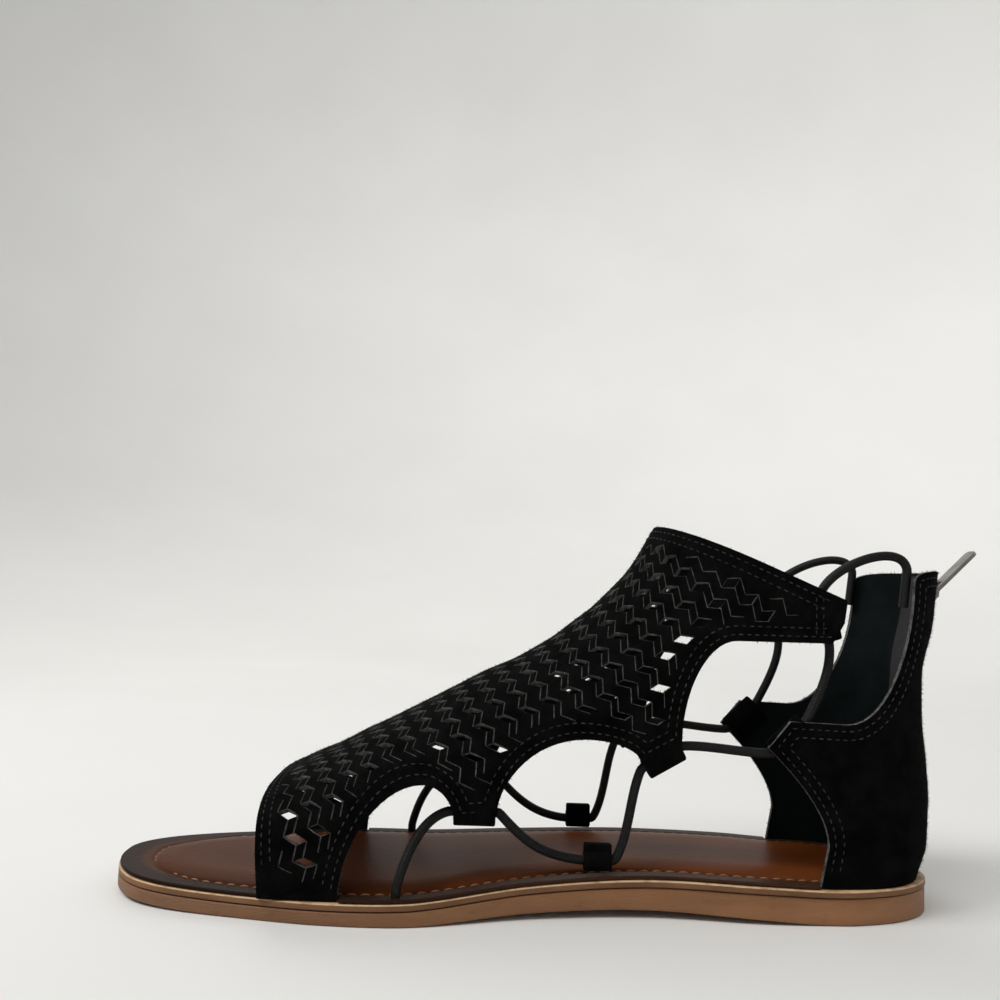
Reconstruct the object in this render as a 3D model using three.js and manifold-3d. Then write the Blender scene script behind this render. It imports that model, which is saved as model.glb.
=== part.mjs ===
// Right gladiator sandal: lattice-cut suede shield, elastic side lacing, heel counter with a back zip.
// Millimetres. +X points to the toe, +Y to the inner (medial) side and +Z up. The sole rests on Z = 0.
// The origin is on the floor at the middle of the heel's flat, HEEL_SEAT from the back end of the sole.

import * as THREE from 'three';
import { mergeVertices } from 'three/addons/utils/BufferGeometryUtils.js';
import Module from 'manifold-3d';

const wasm = await Module();
wasm.setup();

// Sole sizes
const SOLE_LENGTH = 260;
const BALL_WIDTH = 88;
const OUTSOLE_HEEL = 8.1;
const OUTSOLE_BALL = 3.9;
const MIDSOLE_THICK = 2.0;
const MIDSOLE_LIP = 0.6;
const LIP_FULL = 0.3;
const LIP_GONE = 0.6;
const SOLE_BEVEL = 0.8;
const END_ROUNDING = 3;
const INSOLE_EDGE = 0.9;
const INSOLE_INSET = 0.3;
const INSOLE_PAD = 1.3;
const PAD_INSET = 7;
const PAD_SLOPE = 6;
const PAD_SHOULDER = 0.7;
const ARCH_LIFT = 2.4;
const TOE_SPRING = 1.5;
const HEEL_SEAT = 26;
const SOLE_RINGS = 26;

// Upper sizes
const SHIELD_HEIGHT = 121;
const SHIELD_WALL = 1.8;
const COUNTER_HEIGHT = 108.5;
const COUNTER_WALL = 1.8;
const HEEL_SQUARE = 2.3;
const FOOT_LOW = 0.06;
const FOOT_HIGH = 0.24;
const COUNTER_CELLS = 28;
const COUNTER_LEVELS = 10;
const ROUNDNESS = 0.52;
const SECTION_STEPS = 28;
const OUTLINE_STEPS = 6;

// Lattice of the shield
const ROW_PITCH = 7.25;
const LINK_PITCH = 7.0;
const FIRST_ROW = 8;
const FIRST_LINK = 6;
const LEVEL_LINK = 34;
const HOLE_WIDTH = 3.3;
const HOLE_LENGTH = 3.3;
const HOLE_SHEAR = 2.6;
const LATTICE_MARGIN = 8.5;
const CUT_EVERY = 3;
const SHIELD_ROWS = 13;
const CROWN_CELLS = 12;
const SIDE_CELLS = 3;

// Elastic and its tunnels
const CORD_DIAMETER = 3.0;
const TUNNEL_SKIN = 1.3;
const TAB_WIDTH = 12.5;
const TAB_DEPTH = 7.8;
const LOOP_WIDTH = 8.5;
const LOOP_RISE = 7.2;
const LOOP_INSET = 4.2;
const LOOP_AT = 0.420;
const ANCHOR_AT = 0.652;
const ANCHOR_INSET = 3.4;
const COLLAR_AT = 0.046;
const COLLAR_DROP = 12;
const CORD_MOUTH = 1.0;
const STRETCH_STEPS = 5;
const CORD_CORNERS = 4;
const BORE_SIDES = 8;

// Zip sizes
const ZIP_SLIT = 5.0;
const ZIP_FOOT = 34;
const TAPE_WIDTH = 19;
const TAPE_THICK = 0.7;
const TEETH_WIDTH = 3.6;
const TEETH_DEPTH = 1.5;
const SLIDER_WIDTH = 6.4;
const SLIDER_LENGTH = 9.0;
const SLIDER_THICK = 1.4;
const SLIDER_DROP = 5.8;
const BRIDGE_WIDTH = 1.7;
const BRIDGE_BAR = 0.9;
const BRIDGE_SPAN = 3.0;
const PULL_LENGTH = 19.5;
const PULL_WIDTH = 6.0;
const PULL_THICK = 1.2;
const PULL_RISE = 45;
const PULL_CORNER = 1.0;
const PULL_WINDOW = 4.4;
const SLIDER_TAPER = 0.22;
const TAPE_OVERLAP = 4;
const ZIP_TOP = 1.5;

// Fits
const GAP = 0.3;

const CORD_BORE = CORD_DIAMETER + 2 * GAP;
const TAB_THICK = CORD_BORE + 2 * TUNNEL_SKIN;
const BRIDGE_OPEN = PULL_THICK + 3 * GAP;
const SHIELD_RUN = 0.645 * SOLE_LENGTH;
const SHIELD_REACH = 0.30 * SOLE_LENGTH;
const COUNTER_REACH = 0.34 * SOLE_LENGTH;

// Outline and bottom of the sole, from the heel end to the toe.
// at: share of SOLE_LENGTH. medial, lateral: half widths as shares of BALL_WIDTH.
// arch: share of ARCH_LIFT. spring: share of TOE_SPRING. heel: share of the way from the ball's thickness
// to the heel's.
const SOLE = [
  { at: 0.000, medial: 0.055, lateral: 0.052, arch: 0.00, spring: 0.0, heel: 1.00 },
  { at: 0.046, medial: 0.262, lateral: 0.256, arch: 0.00, spring: 0.0, heel: 1.00 },
  { at: 0.115, medial: 0.338, lateral: 0.352, arch: 0.00, spring: 0.0, heel: 1.00 },
  { at: 0.150, medial: 0.345, lateral: 0.364, arch: 0.00, spring: 0.0, heel: 0.98 },
  { at: 0.231, medial: 0.354, lateral: 0.386, arch: 0.55, spring: 0.0, heel: 0.86 },
  { at: 0.365, medial: 0.322, lateral: 0.400, arch: 1.00, spring: 0.0, heel: 0.66 },
  { at: 0.500, medial: 0.370, lateral: 0.432, arch: 0.75, spring: 0.0, heel: 0.38 },
  { at: 0.635, medial: 0.482, lateral: 0.498, arch: 0.00, spring: 0.0, heel: 0.10 },
  { at: 0.731, medial: 0.485, lateral: 0.510, arch: 0.00, spring: 0.0, heel: 0.00 },
  { at: 0.827, medial: 0.433, lateral: 0.428, arch: 0.00, spring: 0.0, heel: 0.00 },
  { at: 0.923, medial: 0.360, lateral: 0.312, arch: 0.00, spring: 0.4, heel: 0.00 },
  { at: 0.969, medial: 0.272, lateral: 0.212, arch: 0.00, spring: 0.75, heel: 0.00 },
  { at: 1.000, medial: 0.030, lateral: 0.028, arch: 0.00, spring: 1.0, heel: 0.00 },
];

// Arches of the shield, each in a plane that leans back from the ridge.
// at: share of the shield's length, from the toe edge to the ankle edge. x: ridge, share of SOLE_LENGTH.
// z: ridge, share of SHIELD_HEIGHT. lean: degrees from upright. half: half width, share of BALL_WIDTH.
// crown: depth of the round top, share of SHIELD_HEIGHT. square: squareness of the round top.
// tuck: how far the side comes in again below the round top, share of its height.
const SHIELD = [
  { at: 0.000, x: 0.8105, z: 0.276, lean: 3, half: 0.472, crown: 0.135, square: 3.0, tuck: 0.24 },
  { at: 0.110, x: 0.753, z: 0.340, lean: 10, half: 0.482, crown: 0.165, square: 2.6, tuck: 0.12 },
  { at: 0.233, x: 0.689, z: 0.411, lean: 17, half: 0.468, crown: 0.195, square: 2.35, tuck: 0.06 },
  { at: 0.351, x: 0.628, z: 0.482, lean: 25, half: 0.425, crown: 0.210, square: 2.25, tuck: 0.10 },
  { at: 0.476, x: 0.562, z: 0.558, lean: 34, half: 0.392, crown: 0.220, square: 2.2, tuck: 0.09 },
  { at: 0.608, x: 0.4935, z: 0.634, lean: 43, half: 0.372, crown: 0.230, square: 2.2, tuck: 0.04 },
  { at: 0.754, x: 0.425, z: 0.742, lean: 54, half: 0.352, crown: 0.240, square: 2.2, tuck: 0.02 },
  { at: 0.880, x: 0.372, z: 0.856, lean: 62, half: 0.340, crown: 0.245, square: 2.15, tuck: 0.01 },
  { at: 1.000, x: 0.3345, z: 0.992, lean: 67.5, half: 0.332, crown: 0.250, square: 2.1, tuck: 0.00 },
];

// Slant of the lattice rows. at: share of the shield's length, where the row meets LEVEL_LINK.
// slant: how far the row moves towards the ankle for each millimetre down the side.
const LATTICE = [
  { at: 0.00, slant: 0.30 },
  { at: 0.12, slant: 0.30 },
  { at: 0.57, slant: 0.00 },
  { at: 0.83, slant: -0.28 },
  { at: 1.00, slant: -0.28 },
];

// Level sections of the counter, from the insole to the collar.
// at: share of COUNTER_HEIGHT. back: back end, share of SOLE_LENGTH. half: half width, share of BALL_WIDTH.
// bend: where the round heel ends and the straight side begins, share of SOLE_LENGTH.
const COUNTER = [
  { at: 0.000, back: 0.020, half: 0.335, bend: 0.155 },
  { at: 0.110, back: 0.008, half: 0.338, bend: 0.155 },
  { at: 0.190, back: -0.003, half: 0.343, bend: 0.155 },
  { at: 0.310, back: -0.007, half: 0.346, bend: 0.150 },
  { at: 0.430, back: -0.003, half: 0.346, bend: 0.145 },
  { at: 0.560, back: 0.004, half: 0.344, bend: 0.135 },
  { at: 0.690, back: 0.002, half: 0.342, bend: 0.125 },
  { at: 0.830, back: -0.009, half: 0.340, bend: 0.115 },
  { at: 1.000, back: -0.018, half: 0.336, bend: 0.105 },
];

// Side outline of the shield. x: share of SOLE_LENGTH. z: share of SHIELD_HEIGHT.
const SHIELD_SIDE = {
  bandFoot: { x: 0.716, z: 0.020 },
  frontCrown: { x: 0.627, z: 0.327 },
  tabOneFront: { x: 0.591, z: 0.245 },
  tabOneRear: { x: 0.542, z: 0.250 },
  midCrown: { x: 0.440, z: 0.440 },
  tabTwoFront: { x: 0.374, z: 0.385 },
  tabTwoRear: { x: 0.326, z: 0.440 },
  strapCorner: { x: 0.262, z: 0.698 },
  strapLow: { x: 0.145, z: 0.700 },
  strapHigh: { x: 0.131, z: 0.800 },
};

// Side outline of the counter. x: share of SOLE_LENGTH. z: share of COUNTER_HEIGHT.
const COUNTER_SIDE = {
  frontFoot: { x: 0.158, z: 0.020 },
  frontWaist: { x: 0.149, z: 0.210 },
  waistPull: { x: 0.149, z: 0.315 },
  wingLow: { x: 0.222, z: 0.480 },
  wingHigh: { x: 0.196, z: 0.556 },
  saddle: { x: 0.128, z: 0.552 },
  rimCorner: { x: 0.043, z: 0.960 },
};

// Cord tunnels of the upper. x, z: middle of the tunnel, shares of SOLE_LENGTH and of SHIELD_HEIGHT.
// turn: direction of the tunnel in side view, degrees from straight back towards straight up.
const TUNNELS = {
  tabOne: { x: 0.567, z: 0.256, turn: 0 },
  tabTwo: { x: 0.346, z: 0.395, turn: 30 },
  tabThree: { x: 0.1525, z: 0.757, turn: 103 },
  wing: { x: 0.1945, z: 0.456, turn: 44 },
};

// Stretches of the elastic between its holds, in side view.
// leave, arrive: direction of travel at each end, degrees from straight back towards straight up.
// slack: length of the end tangents as a share of the straight distance.
const STRETCHES = [
  { name: 'soleToTabOne', leave: 76, arrive: 12, slack: 0.34 },
  { name: 'tabOneToLoop', leave: -46, arrive: -6, slack: 0.40 },
  { name: 'loopToTabTwo', leave: 58, arrive: 66, slack: 0.30 },
  { name: 'tabTwoToWing', leave: 4, arrive: 2, slack: 0.30 },
  { name: 'wingToTabThree', leave: 62, arrive: 98, slack: 0.32 },
  { name: 'tabThreeToCollar', leave: 80, arrive: -84, slack: 0.34 },
];

const SUEDE = { color: 0x0b0b0c, roughness: 0.96, metalness: 0 };
const ELASTIC = { color: 0x101012, roughness: 0.6, metalness: 0 };
const RUBBER = { color: 0x8a5a38, roughness: 0.62, metalness: 0 };
const RAND = { color: 0x6f4a30, roughness: 0.6, metalness: 0 };
const COGNAC = { color: 0x8a4a26, roughness: 0.45, metalness: 0 };
const GUNMETAL = { color: 0x55524e, roughness: 0.35, metalness: 1 };
const TAPE_CLOTH = { color: 0x0e0e10, roughness: 0.9, metalness: 0 };

// Smooth reading of one column of a table, by cubic pieces through the rows.
function column(table, name, at, key = 'at') {
  const last = table.length - 1;
  let i = 0;
  while (i < last - 1 && at > table[i + 1][key]) i += 1;
  const a = table[i];
  const b = table[i + 1];
  const before = table[Math.max(i - 1, 0)];
  const after = table[Math.min(i + 2, last)];
  const span = b[key] - a[key];
  const slopeA = (b[name] - before[name]) / (b[key] - before[key]);
  const slopeB = (after[name] - a[name]) / (after[key] - a[key]);
  const t = (at - a[key]) / span;
  const t2 = t * t;
  const t3 = t2 * t;
  return (2 * t3 - 3 * t2 + 1) * a[name] + (t3 - 2 * t2 + t) * span * slopeA
    + (3 * t2 - 2 * t3) * b[name] + (t3 - t2) * span * slopeB;
}

// The sole's rows again, with their place as an angle, so that round ends read as smooth curves.
const SOLE_TURNED = SOLE.map((row) => ({ ...row, turn: Math.acos(1 - 2 * row.at) / Math.PI }));

const soleShare = (x) => THREE.MathUtils.clamp(x / SOLE_LENGTH, 0, 1);
const soleTurn = (x) => Math.acos(1 - 2 * soleShare(x)) / Math.PI;
const medialHalf = (x) => BALL_WIDTH * column(SOLE_TURNED, 'medial', soleTurn(x), 'turn');
const lateralHalf = (x) => BALL_WIDTH * column(SOLE_TURNED, 'lateral', soleTurn(x), 'turn');
const centreLine = (x) => (medialHalf(x) - lateralHalf(x)) / 2;
const halfWidth = (x) => (medialHalf(x) + lateralHalf(x)) / 2;

function floorHeight(x) {
  const share = soleShare(x);
  const arch = Math.max(column(SOLE, 'arch', share), 0);
  const spring = Math.max(column(SOLE, 'spring', share), 0);
  return ARCH_LIFT * arch + TOE_SPRING * spring;
}

function outsoleTop(x) {
  const heel = THREE.MathUtils.clamp(column(SOLE, 'heel', soleShare(x)), 0, 1);
  return floorHeight(x) + OUTSOLE_BALL + (OUTSOLE_HEEL - OUTSOLE_BALL) * heel;
}

const midsoleLow = (x) => outsoleTop(x) + GAP;
const midsoleTop = (x) => midsoleLow(x) + MIDSOLE_THICK;
const insoleLow = (x) => midsoleTop(x) + GAP;
const insoleTop = (x) => insoleLow(x) + INSOLE_EDGE;

function toManifold(geometry) {
  const bare = geometry.clone();
  bare.deleteAttribute('normal');
  bare.deleteAttribute('uv');
  const merged = mergeVertices(bare, 1e-4);
  return new wasm.Manifold(new wasm.Mesh({
    numProp: 3,
    vertProperties: new Float32Array(merged.attributes.position.array),
    triVerts: new Uint32Array(merged.index.array),
  }));
}

function toGeometry(solid) {
  const mesh = solid.getMesh();
  const geometry = new THREE.BufferGeometry();
  geometry.setAttribute('position', new THREE.BufferAttribute(new Float32Array(mesh.vertProperties), 3));
  geometry.setIndex(new THREE.BufferAttribute(new Uint32Array(mesh.triVerts), 1));
  geometry.computeVertexNormals();
  return geometry;
}

// A closed geometry from points and triangles, turned so that its faces point out.
function closedGeometry(points, triangles) {
  let volume = 0;
  for (let i = 0; i < triangles.length; i += 3) {
    const [a, b, c] = [0, 1, 2].map((k) => points[triangles[i + k]]);
    volume += a.dot(b.clone().cross(c));
  }
  const order = volume < 0 ? [0, 2, 1] : [0, 1, 2];
  const index = [];
  for (let i = 0; i < triangles.length; i += 3) order.forEach((k) => index.push(triangles[i + k]));
  const geometry = new THREE.BufferGeometry();
  geometry.setAttribute('position', new THREE.Float32BufferAttribute(points.flatMap((p) => p.toArray()), 3));
  geometry.setIndex(index);
  geometry.computeVertexNormals();
  return geometry;
}

// A solid lofted through rings of equal count, closed by a fan at each end.
function loft(rings) {
  const count = rings[0].length;
  const points = rings.flat();
  const triangles = [];
  for (let r = 0; r < rings.length - 1; r += 1) {
    for (let k = 0; k < count; k += 1) {
      const a = r * count + k;
      const b = r * count + ((k + 1) % count);
      triangles.push(a, b, b + count, a, b + count, a + count);
    }
  }
  const end = (rings.length - 1) * count;
  for (let k = 1; k < count - 1; k += 1) {
    triangles.push(0, k + 1, k);
    triangles.push(end, end + k, end + k + 1);
  }
  return closedGeometry(points, triangles);
}

// A wall between an outer and an inner grid of points, closed all round its edge.
function wallBetween(outer, inner) {
  const rows = outer.length;
  const cols = outer[0].length;
  const points = [...outer.flat(), ...inner.flat()];
  const step = rows * cols;
  const triangles = [];
  for (let r = 0; r < rows - 1; r += 1) {
    for (let c = 0; c < cols - 1; c += 1) {
      const a = r * cols + c;
      const b = a + 1;
      const d = a + cols;
      const e = d + 1;
      triangles.push(a, b, e, a, e, d);
      triangles.push(a + step, e + step, b + step, a + step, d + step, e + step);
    }
  }
  const rim = [];
  for (let c = 0; c < cols - 1; c += 1) rim.push(c);
  for (let r = 0; r < rows - 1; r += 1) rim.push(r * cols + cols - 1);
  for (let c = cols - 1; c > 0; c -= 1) rim.push((rows - 1) * cols + c);
  for (let r = rows - 1; r > 0; r -= 1) rim.push(r * cols);
  rim.forEach((a, i) => {
    const b = rim[(i + 1) % rim.length];
    triangles.push(a, b + step, b, a, a + step, b + step);
  });
  return closedGeometry(points, triangles);
}

// A plate that follows the sole's outline. profile gives, for a place x, the points of its edge from the
// bottom to the top as inset from the outline and height.
function solePlate(inset, profile) {
  const rings = [];
  for (let i = 0; i <= SOLE_RINGS; i += 1) {
    const share = (1 - Math.cos((Math.PI * i) / SOLE_RINGS)) / 2;
    const outlineX = SOLE_LENGTH * share;
    const x = inset + (SOLE_LENGTH - 2 * inset) * share;
    const room = halfWidth(outlineX);
    const keep = (amount) => amount * Math.min(1, room / (END_ROUNDING * Math.abs(amount) + 1e-9));
    const edge = profile(outlineX);
    const inner = medialHalf(outlineX);
    const outer = lateralHalf(outlineX);
    const medial = edge.map(([cut, z]) => new THREE.Vector3(x, inner - keep(cut + inset), z));
    const lateral = edge.map(([cut, z]) => new THREE.Vector3(x, keep(cut + inset) - outer, z));
    rings.push([...medial, ...lateral.reverse()]);
  }
  return loft(rings);
}

// A surface made of sections. sectionAt gives one side of a section from its middle outwards, and the
// other side mirrors it about the centre line. A point is found by its place along the surface and its
// distance from the middle, measured along the section, positive on the medial side.
function sectionSurface(sectionAt) {
  const cache = new Map();
  const measured = (along) => {
    const key = along.toFixed(6);
    if (!cache.has(key)) {
      const line = sectionAt(along);
      const marks = [0];
      for (let i = 1; i < line.length; i += 1) marks.push(marks[i - 1] + line[i].distanceTo(line[i - 1]));
      cache.set(key, { line, marks });
    }
    return cache.get(key);
  };
  const point = (along, across) => {
    const { line, marks } = measured(along);
    const reach = Math.min(Math.abs(across), marks[marks.length - 1]);
    let i = 0;
    while (i < marks.length - 2 && reach > marks[i + 1]) i += 1;
    const share = (reach - marks[i]) / (marks[i + 1] - marks[i]);
    const found = line[i].clone().lerp(line[i + 1], share);
    found.y = centreLine(Math.max(found.x, 0)) + (across < 0 ? -found.y : found.y);
    return found;
  };
  const normal = (along, across) => {
    const small = 0.4;
    const ahead = point(along + small, across).sub(point(along - small, across));
    const aside = point(along, across + small).sub(point(along, across - small));
    return ahead.cross(aside).normalize();
  };
  return (along, across, depth = 0) => point(along, across).addScaledVector(normal(along, across), -depth);
}

function shieldSection(along) {
  const at = along / SHIELD_RUN;
  const read = (name) => column(SHIELD, name, at);
  const lean = THREE.MathUtils.degToRad(read('lean'));
  const ridge = new THREE.Vector3(SOLE_LENGTH * read('x'), 0, SHIELD_HEIGHT * read('z'));
  const down = new THREE.Vector3(-Math.sin(lean), 0, -Math.cos(lean));
  const half = BALL_WIDTH * read('half');
  const crown = SHIELD_HEIGHT * read('crown');
  const power = 2 / read('square');
  const line = [];
  for (let i = 0; i <= SECTION_STEPS; i += 1) {
    const angle = (Math.PI / 2) * (i / SECTION_STEPS);
    const drop = crown * (1 - Math.cos(angle) ** power);
    const point = ridge.clone().addScaledVector(down, drop);
    point.y = half * Math.sin(angle) ** power;
    line.push(point);
  }
  const side = SHIELD_REACH;
  const foot = ridge.clone().addScaledVector(down, crown + side);
  foot.y = half - side * read('tuck');
  line.push(foot);
  return line;
}

function counterSection(along) {
  const at = along / COUNTER_HEIGHT;
  const back = SOLE_LENGTH * column(COUNTER, 'back', at);
  const half = BALL_WIDTH * column(COUNTER, 'half', at);
  const bend = SOLE_LENGTH * column(COUNTER, 'bend', at);
  const power = 2 / HEEL_SQUARE;
  const line = [];
  for (let i = 0; i <= SECTION_STEPS; i += 1) {
    const angle = (Math.PI / 2) * (i / SECTION_STEPS);
    const x = bend - (bend - back) * Math.cos(angle) ** power;
    line.push(new THREE.Vector3(x, half * Math.sin(angle) ** power, along));
  }
  line.push(new THREE.Vector3(COUNTER_REACH, half, along));
  return line;
}

const shieldAt = sectionSurface(shieldSection);
const counterAt = sectionSurface(counterSection);

function spread(low, high, count) {
  return Array.from({ length: count + 1 }, (_, i) => low + ((high - low) * i) / count);
}

// Side outlines as shapes in X and Z, pushed through the whole width.
function sidePrism(shape) {
  const geometry = new THREE.ExtrudeGeometry(shape, {
    depth: 2 * BALL_WIDTH,
    bevelEnabled: false,
    curveSegments: OUTLINE_STEPS,
  });
  geometry.rotateX(Math.PI / 2);
  geometry.translate(0, BALL_WIDTH, 0);
  return geometry;
}

// A quarter-round from the pen's place to a target, starting upright and ending level, or the reverse.
function quarter(shape, target, uprightFirst) {
  const start = shape.currentPoint;
  const dx = ROUNDNESS * (target.x - start.x);
  const dz = ROUNDNESS * (target.z - start.y);
  if (uprightFirst) {
    shape.bezierCurveTo(start.x, start.y + dz, target.x - dx, target.z, target.x, target.z);
  } else {
    shape.bezierCurveTo(start.x + dx, start.y, target.x, target.z - dz, target.x, target.z);
  }
}

const scaled = (place, height) => ({ x: SOLE_LENGTH * place.x, z: height * place.z });

function shieldOutline() {
  const p = Object.fromEntries(
    Object.entries(SHIELD_SIDE).map(([name, place]) => [name, scaled(place, SHIELD_HEIGHT)]),
  );
  const shape = new THREE.Shape();
  const beyond = 2 * SHIELD_HEIGHT;
  shape.moveTo(SOLE_LENGTH, midsoleTop(p.bandFoot.x) + GAP);
  shape.lineTo(SOLE_LENGTH, beyond);
  shape.lineTo(p.strapHigh.x, beyond);
  shape.lineTo(p.strapHigh.x, p.strapHigh.z);
  shape.lineTo(p.strapLow.x, p.strapLow.z);
  shape.lineTo(p.strapCorner.x, p.strapCorner.z);
  quarter(shape, p.tabTwoRear, false);
  shape.lineTo(p.tabTwoFront.x, p.tabTwoFront.z);
  quarter(shape, p.midCrown, true);
  quarter(shape, p.tabOneRear, false);
  shape.lineTo(p.tabOneFront.x, p.tabOneFront.z);
  quarter(shape, p.frontCrown, true);
  quarter(shape, { x: p.bandFoot.x, z: midsoleTop(p.bandFoot.x) + GAP }, false);
  shape.closePath();
  return shape;
}

// Rows of the lattice, as their places along the shield at LEVEL_LINK.
function latticeRows() {
  const count = Math.floor((SHIELD_RUN - FIRST_ROW) / ROW_PITCH);
  return spread(FIRST_ROW, FIRST_ROW + count * ROW_PITCH, count);
}

// Columns of the lattice, as distances from the middle, on both sides.
function latticeLinks() {
  const count = Math.floor((SHIELD_REACH - FIRST_LINK) / LINK_PITCH);
  const side = spread(FIRST_LINK, FIRST_LINK + count * LINK_PITCH, count);
  return [...side.map((across) => -across), ...side];
}

// A point of the lattice on the shield, by its row place and its distance from the middle.
function latticeAt(row, across, depth) {
  const slant = column(LATTICE, 'slant', row / SHIELD_RUN);
  return shieldAt(row + slant * (Math.abs(across) - LEVEL_LINK), across, depth);
}

function outlineDistance(outline, x, z) {
  let nearest = Infinity;
  let inside = false;
  outline.forEach((a, i) => {
    const b = outline[(i + 1) % outline.length];
    const along = new THREE.Vector2(b.x - a.x, b.y - a.y);
    const to = new THREE.Vector2(x - a.x, z - a.y);
    const share = THREE.MathUtils.clamp(to.dot(along) / Math.max(along.lengthSq(), 1e-9), 0, 1);
    nearest = Math.min(nearest, to.distanceTo(along.clone().multiplyScalar(share)));
    if ((a.y > z) !== (b.y > z) && x < a.x + ((z - a.y) / (b.y - a.y)) * (b.x - a.x)) inside = !inside;
  });
  return inside ? nearest : -nearest;
}

// A slanted window right through the wall, half a wall longer than it at both ends.
function latticeHole(row, across) {
  const shear = (Math.sign(across) * HOLE_SHEAR) / 2;
  const beyond = SHIELD_WALL / 2;
  const corners = [
    [-HOLE_WIDTH / 2 - shear, -HOLE_LENGTH / 2],
    [HOLE_WIDTH / 2 - shear, -HOLE_LENGTH / 2],
    [HOLE_WIDTH / 2 + shear, HOLE_LENGTH / 2],
    [-HOLE_WIDTH / 2 + shear, HOLE_LENGTH / 2],
  ];
  const ring = (depth) => corners.map(([ds, dl]) => latticeAt(row + ds, across + dl, depth));
  return loft([ring(-beyond), ring(SHIELD_WALL + beyond)]);
}

// A folded tab with a cord tunnel: a block flush with the wall's outside, and the bore through it.
function tunnelFrame(place, side, outside) {
  const x = SOLE_LENGTH * place.x;
  const z = SHIELD_HEIGHT * place.z;
  const turn = THREE.MathUtils.degToRad(place.turn);
  const axis = new THREE.Vector3(-Math.cos(turn), 0, Math.sin(turn));
  const half = outside - TAB_THICK / 2;
  const centre = new THREE.Vector3(x, centreLine(x) + side * half, z);
  return { centre, axis, side };
}

function tunnelBlock({ centre, axis }, length) {
  const shape = new THREE.Shape();
  const a = TAB_DEPTH / 2;
  const b = TAB_THICK / 2;
  const cut = TAB_THICK / 4;
  shape.moveTo(-a + cut, -b);
  shape.lineTo(a - cut, -b);
  shape.lineTo(a, -b + cut);
  shape.lineTo(a, b - cut);
  shape.lineTo(a - cut, b);
  shape.lineTo(-a + cut, b);
  shape.lineTo(-a, b - cut);
  shape.lineTo(-a, -b + cut);
  shape.closePath();
  const geometry = new THREE.ExtrudeGeometry(shape, { depth: length, bevelEnabled: false });
  geometry.translate(0, 0, -length / 2);
  return turned(geometry, axis, centre);
}

function tunnelBore({ centre, axis }, length) {
  const geometry = new THREE.CylinderGeometry(CORD_BORE / 2, CORD_BORE / 2, length, BORE_SIDES);
  geometry.rotateX(Math.PI / 2);
  return turned(geometry, axis, centre);
}

// Puts a geometry built along +Z onto an axis in the XZ plane, its own Y staying Y.
function turned(geometry, axis, centre) {
  const up = new THREE.Vector3(0, 1, 0);
  const aside = up.clone().cross(axis);
  const basis = new THREE.Matrix4().makeBasis(aside, up, axis);
  geometry.applyMatrix4(basis);
  geometry.translate(centre.x, centre.y, centre.z);
  return geometry;
}

// Finds the place on a surface that shows at x and z from the side, as [along, across] on the medial side.
function locate(surface, x, z, run, reach) {
  let best = [run / 2, reach / 2];
  let step = [run / 4, reach / 4];
  const miss = ([along, across]) => {
    const found = surface(along, across);
    return Math.hypot(found.x - x, found.z - z);
  };
  for (let round = 0; round < 60; round += 1) {
    const moves = [[1, 0], [-1, 0], [0, 1], [0, -1], [1, 1], [-1, -1], [1, -1], [-1, 1]];
    const tries = moves.map(([a, b]) => [
      THREE.MathUtils.clamp(best[0] + a * step[0], 0, run),
      THREE.MathUtils.clamp(best[1] + b * step[1], 0, reach),
    ]);
    const next = tries.reduce((a, b) => (miss(b) < miss(a) ? b : a));
    if (miss(next) < miss(best)) best = next;
    else step = step.map((size) => size * 0.6);
  }
  return best;
}

function sideHalf(surface, x, z, run, reach) {
  const [along, across] = locate(surface, x, z, run, reach);
  return surface(along, across).y - centreLine(x);
}

const shieldHalf = (x, z) => sideHalf(shieldAt, x, z, SHIELD_RUN, SHIELD_REACH);
const counterHalf = (x, z) => sideHalf(counterAt, x, z, COUNTER_HEIGHT, COUNTER_REACH);

function tunnel(name, side) {
  const place = TUNNELS[name];
  const x = SOLE_LENGTH * place.x;
  const z = SHIELD_HEIGHT * place.z;
  const outside = name === 'wing' ? counterHalf(x, z) : shieldHalf(x, z);
  return tunnelFrame(place, side, outside);
}

// Adds folded tabs to a wall and bores the cord's way through both.
function withTunnels(wall, names) {
  let solid = wall;
  const frames = names.flatMap((name) => [1, -1].map((side) => tunnel(name, side)));
  frames.forEach((frame) => { solid = solid.add(toManifold(tunnelBlock(frame, TAB_WIDTH))); });
  frames.forEach((frame) => { solid = solid.subtract(toManifold(tunnelBore(frame, 2 * TAB_WIDTH))); });
  return solid;
}

function grid(surface, alongs, acrosses, depth) {
  return alongs.map((along) => acrosses.map((across) => surface(along, across, depth)));
}

// Grid lines of the shield: close together over the round top, wider on the flat sides.
function shieldGrid() {
  const crown = LEVEL_LINK + LINK_PITCH;
  const side = spread(crown, SHIELD_REACH, SIDE_CELLS).slice(1);
  const round = spread(-crown, crown, CROWN_CELLS);
  const acrosses = [...side.map((across) => -across).reverse(), ...round, ...side];
  return { alongs: spread(0, SHIELD_RUN, SHIELD_ROWS), acrosses };
}

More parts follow.
